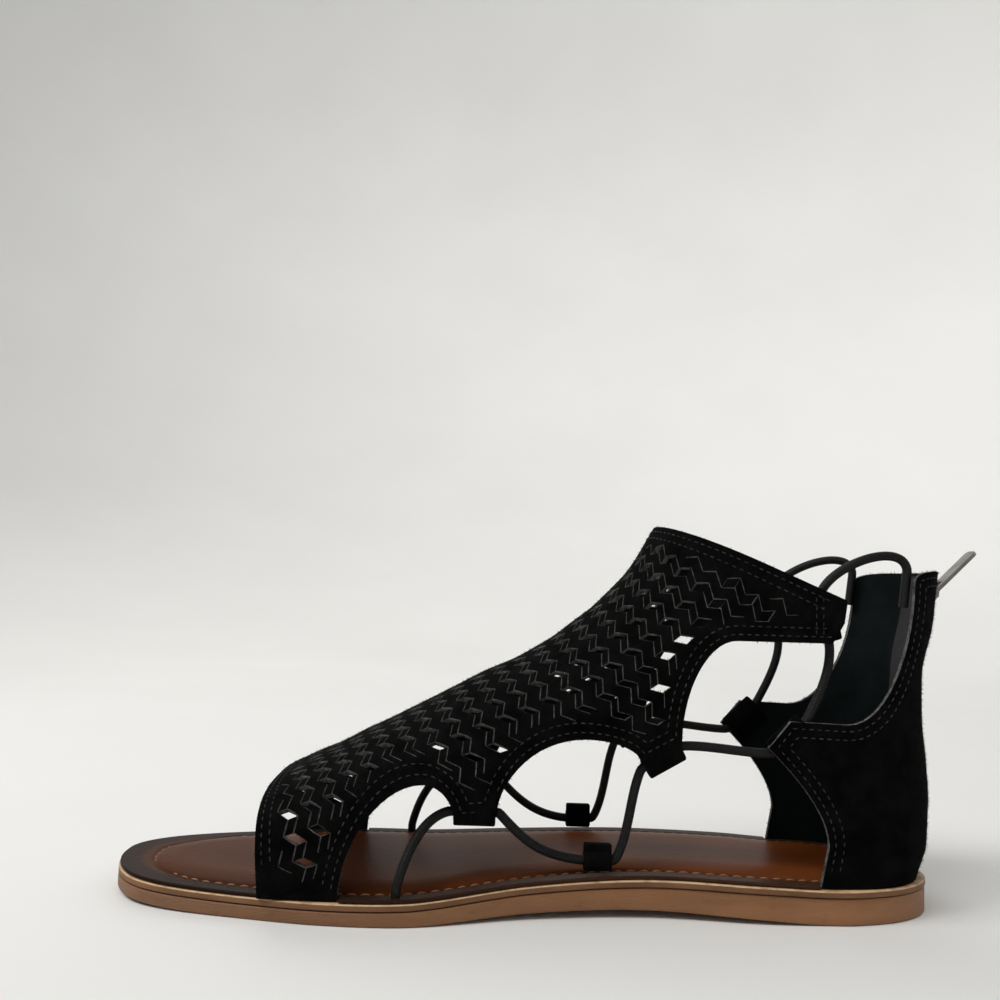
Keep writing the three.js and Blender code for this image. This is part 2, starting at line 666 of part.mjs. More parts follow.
function makeShield() {
  const { alongs, acrosses } = shieldGrid();
  const outline = shieldOutline();
  const wall = toManifold(wallBetween(
    grid(shieldAt, alongs, acrosses, 0),
    grid(shieldAt, alongs, acrosses, SHIELD_WALL),
  ));
  let solid = wall.intersect(toManifold(sidePrism(outline)));
  const border = outline.getPoints(OUTLINE_STEPS);
  const holes = [];
  latticeRows().filter((_, i) => i % CUT_EVERY === 1).forEach((row) => {
    latticeLinks().forEach((across) => {
      const middle = latticeAt(row, across);
      const margin = outlineDistance(border, middle.x, middle.z);
      if (margin > LATTICE_MARGIN) holes.push(latticeHole(row, across));
    });
  });
  holes.forEach((hole) => { solid = solid.subtract(toManifold(hole)); });
  return withTunnels(solid, ['tabOne', 'tabTwo', 'tabThree']);
}

function counterOutline() {
  const p = Object.fromEntries(
    Object.entries(COUNTER_SIDE).map(([name, place]) => [name, scaled(place, COUNTER_HEIGHT)]),
  );
  const behind = -SOLE_LENGTH / 4;
  const shape = new THREE.Shape();
  const foot = midsoleTop(p.frontFoot.x) + GAP;
  shape.moveTo(behind, midsoleTop(0) + GAP);
  shape.lineTo(p.frontFoot.x, foot);
  shape.lineTo(p.frontWaist.x, p.frontWaist.z);
  shape.quadraticCurveTo(p.frontWaist.x, p.waistPull.z, p.wingLow.x, p.wingLow.z);
  shape.lineTo(p.wingHigh.x, p.wingHigh.z);
  shape.lineTo(p.saddle.x, p.saddle.z);
  quarter(shape, p.rimCorner, false);
  shape.quadraticCurveTo(p.rimCorner.x, COUNTER_HEIGHT, 0, COUNTER_HEIGHT);
  shape.lineTo(behind, COUNTER_HEIGHT);
  shape.closePath();
  return shape;
}

const zipMiddle = centreLine(0);
const counterLevels = spread(FOOT_LOW * COUNTER_HEIGHT, COUNTER_HEIGHT + GAP, COUNTER_LEVELS);
const counterAcrosses = spread(-COUNTER_REACH, COUNTER_REACH, COUNTER_CELLS);

// The counter's own grid lines between two limits, and the limits themselves, so that what lies against
// the wall has the wall's facets.
const within = (lines, low, high) => [low, ...lines.filter((at) => at > low && at < high), high];

function makeCounter() {
  const wall = toManifold(wallBetween(
    grid(counterAt, counterLevels, counterAcrosses, 0),
    grid(counterAt, counterLevels, counterAcrosses, COUNTER_WALL),
  ));
  const slit = new THREE.BoxGeometry(SOLE_LENGTH / 6, ZIP_SLIT, COUNTER_HEIGHT);
  slit.translate(0, zipMiddle, ZIP_FOOT + COUNTER_HEIGHT / 2);
  const solid = wall.intersect(toManifold(sidePrism(counterOutline()))).subtract(toManifold(slit));
  return withTunnels(solid, ['wing']);
}

// Sole pieces
function makeOutsole() {
  return solePlate(0, (x) => [
    [SOLE_BEVEL, floorHeight(x)],
    [0, floorHeight(x) + SOLE_BEVEL],
    [0, outsoleTop(x) - SOLE_BEVEL / 2],
    [SOLE_BEVEL / 2, outsoleTop(x)],
  ]);
}

function makeMidsole() {
  const soft = MIDSOLE_THICK / 4;
  const fade = [LIP_FULL * SOLE_LENGTH, LIP_GONE * SOLE_LENGTH];
  const lip = (x) => -MIDSOLE_LIP * (1 - THREE.MathUtils.smoothstep(x, fade[0], fade[1]));
  return solePlate(0, (x) => [
    [lip(x) + soft, midsoleLow(x)],
    [lip(x), midsoleLow(x) + soft],
    [lip(x), midsoleTop(x) - soft],
    [lip(x) + soft, midsoleTop(x)],
  ]);
}

// Cutter for the notch in the insole's edge that a wall's foot goes through. It reaches from GAP inside
// the wall to the insole's edge. depths: the two limits, as depths on the wall's own surface.
function footNotch(surface, alongs, acrosses, depths, x1, x2) {
  const ribbon = toManifold(wallBetween(
    grid(surface, alongs, acrosses, depths[0]),
    grid(surface, alongs, acrosses, depths[1]),
  ));
  const window = new THREE.BoxGeometry(x2 - x1 + 2 * GAP, 2 * BALL_WIDTH, 2 * FOOT_HIGH * COUNTER_HEIGHT);
  window.translate((x1 + x2) / 2, 0, midsoleLow(x1));
  return ribbon.intersect(toManifold(window));
}

function makeInsole() {
  let solid = toManifold(solePlate(INSOLE_INSET, (x) => {
    const fromEnd = Math.min(x, SOLE_LENGTH - x);
    const pad = INSOLE_PAD * THREE.MathUtils.smoothstep(fromEnd, PAD_INSET, PAD_INSET + 3 * PAD_SLOPE);
    return [
      [0, insoleLow(x)],
      [0, insoleTop(x)],
      [PAD_INSET, insoleTop(x)],
      [PAD_INSET + PAD_SLOPE / 2, insoleTop(x) + PAD_SHOULDER * pad],
      [PAD_INSET + 2 * PAD_SLOPE, insoleTop(x) + pad],
    ];
  }));
  const { alongs, acrosses } = shieldGrid();
  const band = [-2 * GAP, ...alongs.filter((along) => along > 0 && along < SHIELD_RUN / 3)];
  const bandFront = SOLE_LENGTH * SHIELD[0].x;
  const bandRear = SOLE_LENGTH * SHIELD_SIDE.bandFoot.x;
  const bandDepths = [-GAP, SHIELD_WALL + PAD_INSET];
  solid = solid.subtract(footNotch(shieldAt, band, acrosses, bandDepths, bandRear, bandFront));
  const levels = within(counterLevels, counterLevels[0], FOOT_HIGH * COUNTER_HEIGHT);
  const frontFoot = SOLE_LENGTH * COUNTER_SIDE.frontFoot.x;
  const heelDepths = [-PAD_INSET, COUNTER_WALL + GAP];
  solid = solid.subtract(footNotch(counterAt, levels, counterAcrosses, heelDepths, -frontFoot, frontFoot));
  [1, -1].forEach((side) => {
    const loop = loopFrame(side);
    const slot = new THREE.BoxGeometry(LOOP_WIDTH + 2 * GAP, 2 * TUNNEL_SKIN + 2 * GAP, LOOP_RISE);
    slot.translate(loop.centre.x, loop.centre.y, insoleLow(loop.centre.x));
    const anchor = anchorPoint(side);
    const hole = new THREE.CylinderGeometry(CORD_BORE / 2, CORD_BORE / 2, LOOP_RISE, BORE_SIDES);
    hole.rotateX(Math.PI / 2);
    hole.translate(anchor.x, anchor.y, anchor.z);
    solid = solid.subtract(toManifold(slot)).subtract(toManifold(hole));
  });
  return toGeometry(solid);
}

// Sole loops: a strip folded round the cord, its two ends going down together through the insole.
function loopFrame(side) {
  const x = LOOP_AT * SOLE_LENGTH;
  const y = centreLine(x) + side * (halfWidth(x) - LOOP_INSET);
  const z = insoleTop(x) + LOOP_RISE - TUNNEL_SKIN - CORD_BORE / 2;
  return { centre: new THREE.Vector3(x, y, z), axis: new THREE.Vector3(-1, 0, 0), side };
}

function makeLoop(side) {
  const frame = loopFrame(side);
  const foot = midsoleTop(frame.centre.x) + GAP - frame.centre.z;
  const radius = CORD_BORE / 2 + TUNNEL_SKIN;
  const open = Math.asin(TUNNEL_SKIN / radius);
  const shape = new THREE.Shape();
  shape.moveTo(foot, -TUNNEL_SKIN);
  shape.lineTo(-radius * Math.cos(open), -TUNNEL_SKIN);
  shape.absarc(0, 0, radius, Math.PI + open, 3 * Math.PI - open, false);
  shape.lineTo(foot, TUNNEL_SKIN);
  shape.closePath();
  const hole = new THREE.Path();
  hole.absarc(0, 0, CORD_BORE / 2, 0, 2 * Math.PI, true);
  shape.holes.push(hole);
  const geometry = new THREE.ExtrudeGeometry(shape, {
    depth: LOOP_WIDTH,
    bevelEnabled: false,
    curveSegments: BORE_SIDES,
  });
  geometry.translate(0, 0, -LOOP_WIDTH / 2);
  return turned(geometry, frame.axis, frame.centre);
}

// Elastic
function anchorPoint(side) {
  const x = ANCHOR_AT * SOLE_LENGTH;
  return new THREE.Vector3(x, centreLine(x) + side * (halfWidth(x) - ANCHOR_INSET), midsoleTop(x) + GAP);
}

function collarRun(side) {
  const high = COUNTER_HEIGHT - GAP;
  const x = COLLAR_AT * SOLE_LENGTH;
  const [along, across] = locate(counterAt, x, high - COLLAR_DROP, COUNTER_HEIGHT, COUNTER_REACH);
  const depth = COUNTER_WALL + 2 * GAP + CORD_DIAMETER / 2;
  const low = counterAt(along, side * across, depth);
  return { top: counterAt(high, side * across, depth), low };
}

// A curve whose equal steps fall on its own chosen points.
class PointRun extends THREE.Curve {
  constructor(points) {
    super();
    this.points = points;
  }

  getPoint(t, target = new THREE.Vector3()) {
    const last = this.points.length - 1;
    const i = Math.min(Math.floor(t * last + 1e-9), last - 1);
    return target.copy(this.points[i]).lerp(this.points[i + 1], t * last - i);
  }

  getPointAt(u, target) {
    return this.getPoint(u, target);
  }

  getTangentAt(u, target = new THREE.Vector3()) {
    const last = this.points.length - 1;
    const i = Math.round(u * last);
    const before = this.points[Math.max(i - 1, 0)];
    const after = this.points[Math.min(i + 1, last)];
    return target.copy(after).sub(before).normalize();
  }
}

const inSideView = (degrees) => {
  const angle = THREE.MathUtils.degToRad(degrees);
  return new THREE.Vector3(-Math.cos(angle), 0, Math.sin(angle));
};

function elasticPoints(side) {
  const anchor = anchorPoint(side);
  const lead = CORD_DIAMETER / 2 + CORD_MOUTH;
  const through = (frame, width) => [-1, 1].map((end) => (
    frame.centre.clone().addScaledVector(frame.axis, end * (width / 2 + CORD_MOUTH))
  ));
  const collar = collarRun(side);
  const holds = [
    [anchor, anchor.clone().add(new THREE.Vector3(0, 0, INSOLE_EDGE + lead))],
    through(tunnel('tabOne', side), TAB_WIDTH),
    through(loopFrame(side), LOOP_WIDTH),
    through(tunnel('tabTwo', side), TAB_WIDTH),
    through(tunnel('wing', side), TAB_WIDTH),
    through(tunnel('tabThree', side), TAB_WIDTH),
    [collar.top, collar.low],
  ];
  const points = [...holds[0]];
  STRETCHES.forEach((stretch, i) => {
    const from = holds[i][1];
    const to = holds[i + 1][0];
    const pull = stretch.slack * from.distanceTo(to);
    const curve = new THREE.CubicBezierCurve3(
      from,
      from.clone().addScaledVector(inSideView(stretch.leave), pull),
      to.clone().addScaledVector(inSideView(stretch.arrive), -pull),
      to,
    );
    points.push(...curve.getPoints(STRETCH_STEPS).slice(1), holds[i + 1][1]);
  });
  return points;
}

function makeElastic(side) {
  const points = elasticPoints(side);
  const shape = new THREE.Shape();
  shape.absarc(0, 0, CORD_DIAMETER / 2, 0, 2 * Math.PI, false);
  return new THREE.ExtrudeGeometry(shape, {
    steps: points.length - 1,
    extrudePath: new PointRun(points),
    curveSegments: CORD_CORNERS,
    bevelEnabled: false,
  });
}

// Zip
function makeTape() {
  const levels = within(counterLevels, ZIP_FOOT - TAPE_OVERLAP, COUNTER_HEIGHT - ZIP_TOP);
  const acrosses = within(counterAcrosses, -TAPE_WIDTH / 2, TAPE_WIDTH / 2);
  const depth = COUNTER_WALL + 1.5 * GAP;
  return wallBetween(
    grid(counterAt, levels, acrosses, depth),
    grid(counterAt, levels, acrosses, depth + TAPE_THICK),
  );
}

const sliderTop = COUNTER_HEIGHT - SLIDER_DROP + SLIDER_LENGTH / 2;

function makeTeeth() {
  const levels = within(counterLevels, ZIP_FOOT + GAP, COUNTER_HEIGHT - ZIP_TOP);
  const acrosses = within(counterAcrosses, -TEETH_WIDTH / 2, TEETH_WIDTH / 2);
  return wallBetween(
    grid(counterAt, levels, acrosses, COUNTER_WALL - TEETH_DEPTH),
    grid(counterAt, levels, acrosses, COUNTER_WALL),
  );
}

// Frame of the slider: its outer face's middle, the way up along the zip and the way out.
function sliderFrame() {
  const level = sliderTop - SLIDER_LENGTH / 2;
  const middle = counterAt(level, 0, -(GAP + SLIDER_THICK));
  const up = counterAt(level + 1, 0).sub(counterAt(level - 1, 0)).normalize();
  const aside = new THREE.Vector3(0, 1, 0);
  const out = up.clone().cross(aside).negate().normalize();
  if (out.x > 0) out.negate();
  return { middle, up, out };
}

function makeSlider() {
  const low = sliderTop - SLIDER_LENGTH;
  const levels = spread(low, sliderTop, 4);
  const narrow = (level) => 1 - SLIDER_TAPER * (1 - (level - low) / SLIDER_LENGTH);
  const face = (depth) => levels.map((level) => (
    spread(-SLIDER_WIDTH / 2, SLIDER_WIDTH / 2, 3).map((c) => counterAt(level, c * narrow(level), depth))
  ));
  const body = toManifold(wallBetween(face(-GAP - SLIDER_THICK), face(-GAP)));
  const { middle, up, out } = sliderFrame();
  const span = BRIDGE_SPAN / 2;
  const shape = new THREE.Shape();
  shape.moveTo(-span - BRIDGE_BAR, -SLIDER_THICK / 2);
  const cut = BRIDGE_BAR / 2;
  shape.lineTo(-span, -SLIDER_THICK / 2);
  shape.lineTo(-span, BRIDGE_OPEN - cut);
  shape.lineTo(cut - span, BRIDGE_OPEN);
  shape.lineTo(span - cut, BRIDGE_OPEN);
  shape.lineTo(span, BRIDGE_OPEN - cut);
  shape.lineTo(span, -SLIDER_THICK / 2);
  shape.lineTo(span + BRIDGE_BAR, -SLIDER_THICK / 2);
  shape.lineTo(span + BRIDGE_BAR, BRIDGE_OPEN);
  shape.lineTo(span, BRIDGE_OPEN + BRIDGE_BAR);
  shape.lineTo(-span, BRIDGE_OPEN + BRIDGE_BAR);
  shape.lineTo(-span - BRIDGE_BAR, BRIDGE_OPEN);
  shape.closePath();
  const bridge = new THREE.ExtrudeGeometry(shape, { depth: BRIDGE_WIDTH, bevelEnabled: false });
  bridge.translate(0, 0, -BRIDGE_WIDTH / 2);
  bridge.applyMatrix4(new THREE.Matrix4().makeBasis(up, out, up.clone().cross(out)));
  bridge.translate(middle.x, middle.y, middle.z);
  return toGeometry(body.add(toManifold(bridge)));
}

// The pull is a plate with a window round the slider's bridge. Its end bar turns under the bridge.
function pullPivot() {
  const { middle, out } = sliderFrame();
  return middle.clone().addScaledVector(out, BRIDGE_OPEN / 2);
}

function makePull() {
  const bar = PULL_THICK / 2;
  const half = PULL_WIDTH / 2;
  const corner = PULL_CORNER;
  const shape = new THREE.Shape();
  shape.moveTo(-bar, -half);
  shape.lineTo(PULL_LENGTH - corner, -half);
  shape.lineTo(PULL_LENGTH, -half + corner);
  shape.lineTo(PULL_LENGTH, half - corner);
  shape.lineTo(PULL_LENGTH - corner, half);
  shape.lineTo(-bar, half);
  shape.closePath();
  const window = new THREE.Path();
  const open = BRIDGE_WIDTH / 2 + 2 * GAP;
  window.moveTo(bar, -open);
  window.lineTo(bar, open);
  window.lineTo(PULL_WINDOW, open);
  window.lineTo(PULL_WINDOW, -open);
  window.closePath();
  shape.holes.push(window);
  const geometry = new THREE.ExtrudeGeometry(shape, { depth: PULL_THICK, bevelEnabled: false });
  geometry.translate(0, 0, -PULL_THICK / 2);
  return geometry;
}

function addMesh(group, name, shape, look) {
  const geometry = shape.isBufferGeometry ? shape : toGeometry(shape);
  const mesh = new THREE.Mesh(geometry, new THREE.MeshStandardMaterial(look));
  mesh.name = name;
  group.add(mesh);
  return mesh;
}

const sandal = new THREE.Group();
sandal.position.x = -HEEL_SEAT;
addMesh(sandal, 'outsole', makeOutsole(), RUBBER);
addMesh(sandal, 'midsole', makeMidsole(), RAND);
addMesh(sandal, 'insole', makeInsole(), COGNAC);
addMesh(sandal, 'shield', makeShield(), SUEDE);
addMesh(sandal, 'counter', makeCounter(), SUEDE);
[['medial', 1], ['lateral', -1]].forEach(([name, side]) => {
  addMesh(sandal, `sole_loop_${name}`, makeLoop(side), SUEDE);
  addMesh(sandal, `elastic_${name}`, makeElastic(side), ELASTIC);
});
addMesh(sandal, 'zip_tape', makeTape(), TAPE_CLOTH);
addMesh(sandal, 'zip_teeth', makeTeeth(), GUNMETAL);
addMesh(sandal, 'zip_slider', makeSlider(), GUNMETAL);

const pull = addMesh(sandal, 'zip_pull', makePull(), GUNMETAL);
pull.position.copy(pullPivot());
const pullTurn = THREE.MathUtils.degToRad(PULL_RISE);
pull.rotation.setFromRotationMatrix(new THREE.Matrix4().makeBasis(
  new THREE.Vector3(-Math.cos(pullTurn), 0, Math.sin(pullTurn)),
  new THREE.Vector3(0, 1, 0),
  new THREE.Vector3(-Math.sin(pullTurn), 0, -Math.cos(pullTurn)),
));

export default sandal;
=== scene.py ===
# %% [markdown]
# # A gladiator sandal, dressed in numpy surfaces
# The sandal is one right shoe: a rubber sole, a padded leather insole, a suede shield cut in a lattice over
# the instep, a suede counter round the heel with a zip at the back, and an elastic cord laced down each
# side. The frame gives the bodies of the working model. Everything that shows is made here around it.

import bpy
import numpy as np
from mathutils import Matrix


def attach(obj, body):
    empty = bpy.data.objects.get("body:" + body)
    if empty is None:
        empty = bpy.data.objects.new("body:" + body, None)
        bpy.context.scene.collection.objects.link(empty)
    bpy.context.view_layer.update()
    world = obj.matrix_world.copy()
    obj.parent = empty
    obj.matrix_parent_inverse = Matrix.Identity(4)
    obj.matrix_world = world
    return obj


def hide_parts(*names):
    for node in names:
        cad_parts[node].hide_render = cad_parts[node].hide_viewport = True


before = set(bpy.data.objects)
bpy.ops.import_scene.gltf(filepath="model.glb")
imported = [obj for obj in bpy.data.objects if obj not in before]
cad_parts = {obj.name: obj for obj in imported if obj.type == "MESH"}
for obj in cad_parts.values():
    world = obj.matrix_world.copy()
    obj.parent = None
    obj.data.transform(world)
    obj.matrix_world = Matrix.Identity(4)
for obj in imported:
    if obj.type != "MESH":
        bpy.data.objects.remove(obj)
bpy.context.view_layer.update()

# %% [markdown]
# ## Camera
# The shoe is seen from its inner side, the toe to the left, from a little over the floor and slightly
# rolled. The camera could be aimed at a point, but its place and its three small turns were worked out from
# the outline of the real shoe, so they are given as they are.

# %% Camera
HEEL_SEAT = 26.0
CAMERA_PLACE = (150.89, 339.31, 97.52)
CAMERA_TURNS = (-0.0897, -0.025, 0.0386)
FILM = 36.0


def turn_about(axis, angle):
    """Rotation matrix about one main axis: cosine and sine in the plane of the other two."""
    return np.array(Matrix.Rotation(angle, 3, axis))


def place_camera():
    """Axes = turn about Z, Y and X of a camera that looks along -Y with X to its left."""
    level = np.array([[-1, 0, 0], [0, 0, -1], [0, -1, 0]])
    x_turn, y_turn, z_turn = CAMERA_TURNS
    axes = turn_about("Z", z_turn) @ turn_about("Y", y_turn) @ turn_about("X", x_turn) @ level
    right, down, ahead = axes
    pose = np.eye(4)
    pose[:3, :3] = np.stack([right, -down, -ahead], 1)
    pose[:3, 3] = (np.array(CAMERA_PLACE) - (HEEL_SEAT, 0, 0)) / 1000
    data = bpy.data.cameras.new("camera")
    data.lens = FILM
    data.sensor_width = FILM
    camera = bpy.data.objects.new("camera", data)
    camera.matrix_world = Matrix(pose.tolist())
    bpy.context.scene.collection.objects.link(camera)
    bpy.context.scene.camera = camera
    return camera


camera = place_camera()
print("camera at", [round(v, 3) for v in camera.location])

# %% [markdown]
# ## From arrays to meshes
# Every piece is worked out in millimetres, measured from the back end of the sole, and becomes a mesh in
# metres in the frame's own place. One helper fills the mesh from whole arrays, which is far quicker than
# adding faces one by one, and turns a closed skin outwards by the sign of its volume.

# %% Mesh helpers
def net(rows, cols, wrap_rows=False, wrap_cols=False):
    """Quads of a grid. Corner (r, c) has the number r * cols + c, and a wrapped way joins last to first."""
    r = np.arange(rows if wrap_rows else rows - 1)[:, None]
    c = np.arange(cols if wrap_cols else cols - 1)[None, :]
    r2, c2 = (r + 1) % rows, (c + 1) % cols
    quads = np.stack([r * cols + c + 0 * r2, r * cols + c2, r2 * cols + c2, r2 * cols + c], -1)
    return quads.reshape(-1, 4)


def tube_faces(rows, cols):
    """Quads round every ring, and one flat face at each end."""
    ends = np.stack([np.arange(cols)[::-1], (rows - 1) * cols + np.arange(cols)])
    return [net(rows, cols, wrap_cols=True), ends]


def many(one, corners, total):
    """The faces of one small shape repeated: each copy's numbers are higher by its count of corners."""
    return (one[None] + corners * np.arange(total)[:, None, None]).reshape(-1, one.shape[1])


def unit(vectors):
    """Vectors divided by their lengths."""
    return vectors / np.maximum(np.linalg.norm(vectors, axis=-1, keepdims=True), 1e-12)


def volume(points, faces):
    """Sum over fans of triangles of a . (b x c) / 6."""
    total = 0.0
    for block in faces:
        for k in range(1, block.shape[1] - 1):
            a, b, c = points[block[:, 0]], points[block[:, k]], points[block[:, k + 1]]
            total += np.einsum("ij,ij->", a, np.cross(b, c)) / 6
    return total


def make_piece(name, points, faces, looks, kinds=None, body="shoe", uv=None, smooth=True, closed=True):
    """A mesh object from points in mm and a list of face arrays, one array for each count of corners."""
    points = np.asarray(points, float).reshape(-1, 3)
    faces = [np.asarray(block, int) for block in (faces if isinstance(faces, list) else [faces])]
    if closed and volume(points - points.mean(0), faces) < 0:
        faces = [block[:, ::-1] for block in faces]
    mesh = bpy.data.meshes.new(name)
    mesh.vertices.add(len(points))
    placed = (points - (HEEL_SEAT, 0, 0)) / 1000
    mesh.vertices.foreach_set("co", placed.astype(np.float32).ravel())
    corners = np.concatenate([block.ravel() for block in faces])
    sizes = np.concatenate([np.full(len(block), block.shape[1]) for block in faces])
    mesh.loops.add(len(corners))
    mesh.loops.foreach_set("vertex_index", corners.astype(np.int32))
    mesh.polygons.add(len(sizes))
    mesh.polygons.foreach_set("loop_start", (np.cumsum(sizes) - sizes).astype(np.int32))
    for look in looks:
        mesh.materials.append(look)
    if kinds is not None:
        mesh.polygons.foreach_set("material_index", np.asarray(kinds, np.int32))
    mesh.polygons.foreach_set("use_smooth", np.full(len(sizes), smooth))
    if uv is not None:
        layer = mesh.uv_layers.new(name="UVMap")
        layer.data.foreach_set("uv", np.asarray(uv, np.float32)[corners].ravel())
    mesh.update(calc_edges=True)
    piece = bpy.data.objects.new(name, mesh)
    bpy.context.scene.collection.objects.link(piece)
    if body:
        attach(piece, body)
    return piece


def mark_points(piece, name, values):
    """A number for each point of the mesh, which a finish can read."""
    layer = piece.data.attributes.new(name, "FLOAT", "POINT")
    layer.data.foreach_set("value", values.astype(np.float32).ravel())


def count(piece):
    """Triangles of a mesh: each face has two fewer than its corners."""
    return sum(len(face.vertices) - 2 for face in piece.data.polygons)


def join(parts):
    """One set of points and faces from several (points, faces) of equal corner counts."""
    shifts = np.cumsum([0] + [len(points) for points, _ in parts[:-1]])
    points = np.concatenate([points for points, _ in parts])
    return points, np.concatenate([faces + shift for (_, faces), shift in zip(parts, shifts)])


# %% [markdown]
# ## Finishes
# Suede drinks light: its cut fibres stand up, so it is close to black and has hardly any gloss. Where the
# knife went through it the grey core of the hide shows. All finishes are procedural and read the object's
# own place, so they stay put when the shoe is turned.

# %% Material helpers
def node(tree, kind, inputs=None, **settings):
    """Adds a node, sets its options and fills its sockets with values or links."""
    made = tree.nodes.new(kind)
    for name, value in settings.items():
        setattr(made, name, value)
    for socket, value in (inputs or {}).items():
        if isinstance(value, bpy.types.NodeSocket):
            tree.links.new(value, made.inputs[socket])
        else:
            made.inputs[socket].default_value = value
    return made


def finish(name, roughness, metallic=0.0, **extra):
    """A material with its shader's even values set on the shader's own sockets."""
    material = bpy.data.materials.new(name)
    material.use_nodes = True
    shader = material.node_tree.nodes["Principled BSDF"]
    shader.inputs["Roughness"].default_value = roughness
    shader.inputs["Metallic"].default_value = metallic
    for socket, value in extra.items():
        shader.inputs[socket.replace("_", " ")].default_value = value
    return material, material.node_tree, shader


def place(tree, stretch=(1, 1, 1)):
    """Object coordinates, stretched."""
    coordinates = node(tree, "ShaderNodeTexCoord").outputs["Object"]
    return node(tree, "ShaderNodeMapping", {"Vector": coordinates, "Scale": stretch}).outputs["Vector"]


def noise(tree, vector, scale, detail=3.0, rough=0.55):
    """Soft noise between 0 and 1 with scale features to a metre."""
    settings = {"Vector": vector, "Scale": scale, "Detail": detail, "Roughness": rough}
    return node(tree, "ShaderNodeTexNoise", settings).outputs["Fac"]


def ramp(tree, value, stops):
    """Colours along a value: stops are (place, colour)."""
    made = node(tree, "ShaderNodeValToRGB", {"Fac": value})
    band = made.color_ramp
    while len(band.elements) < len(stops):
        band.elements.new(0.5)
    for element, (at, colour) in zip(band.elements, stops):
        element.position = at
        element.color = (*colour, 1)
    return made.outputs["Color"]


def bump(tree, shader, height, depth, strength=1.0):
    """Relief of the given depth in metres on the shader's normal."""
    settings = {"Height": height, "Distance": depth, "Strength": strength}
    made = node(tree, "ShaderNodeBump", settings)
    tree.links.new(made.outputs["Normal"], shader.inputs["Normal"])


def blend(tree, kind, a, b, factor=1.0):
    """Two colours mixed in a given way."""
    made = node(tree, "ShaderNodeMix", data_type="RGBA", blend_type=kind)
    for socket, value in (("Factor", factor), ("A", a), ("B", b)):
        target = [s for s in made.inputs if s.name == socket and s.enabled][0]
        if isinstance(value, bpy.types.NodeSocket):
            tree.links.new(value, target)
        else:
            target.default_value = value if socket == "Factor" else (*value, 1)
    return [s for s in made.outputs if s.enabled][0]


def grainy(name, low, high, roughness, patch, grain, depth, stretch=(1, 1, 1), **extra):
    """A finish whose colour drifts in patches and whose surface has a fine grain."""
    material, tree, shader = finish(name, roughness, **extra)
    at = place(tree, stretch)
    colour = ramp(tree, noise(tree, at, patch), [(0.32, low), (0.68, high)])
    tree.links.new(colour, shader.inputs["Base Color"])
    bump(tree, shader, noise(tree, at, grain, 4.0, 0.7), depth)
    return material


# %% [markdown]
# ## Leathers and threads
# Suede, cut edge, lining and thread are the same kind of finish: a colour that drifts in patches, and a fine
# grain in the surface. They could be painted pictures, but then every piece would need an unwrapped skin.
# One function with two colours and two scales makes them all.

# %% Materials
suede = grainy(
    "suede", (0.0012, 0.0012, 0.0012), (0.0048, 0.0046, 0.0046), 1.0, 130, 1900, 0.00045,
    Specular_IOR_Level=0.035,
)
raw_edge = grainy(
    "suede_cut_edge", (0.050, 0.050, 0.049), (0.170, 0.170, 0.165), 0.95, 520, 2600, 0.0003,
    Specular_IOR_Level=0.1,
)
lining = grainy(
    "lining_leather", (0.0014, 0.0030, 0.0031), (0.0040, 0.0072, 0.0072), 0.75, 90, 1300, 0.00012,
    Specular_IOR_Level=0.08,
)
thread_black = grainy(
    "thread_black", (0.004, 0.004, 0.004), (0.046, 0.045, 0.044), 0.6, 420, 3000, 0.0001,
    Specular_IOR_Level=0.2,
)
thread_tan = grainy(
    "thread_tan", (0.20, 0.080, 0.034), (0.33, 0.150, 0.070), 0.6, 400, 3000, 0.0001,
)
print("leathers and threads:", [m.name for m in (suede, raw_edge, lining, thread_black, thread_tan)])

# %% [markdown]
# ## Tables of the last
# The shoe was made over a last, and a few short tables give its form as shares of a few real sizes. A
# column is read between its rows by cubic pieces, which keeps the curves soft without hundreds of points.

# %% Sizes and tables
SOLE_LENGTH, BALL_WIDTH = 260.0, 88.0
SHIELD_HEIGHT, COUNTER_HEIGHT = 121.0, 108.5
SHIELD_RUN = 0.645 * SOLE_LENGTH
SHIELD_REACH, COUNTER_REACH = 0.30 * SOLE_LENGTH, 0.34 * SOLE_LENGTH
WALL = 1.8
GAP = 0.3

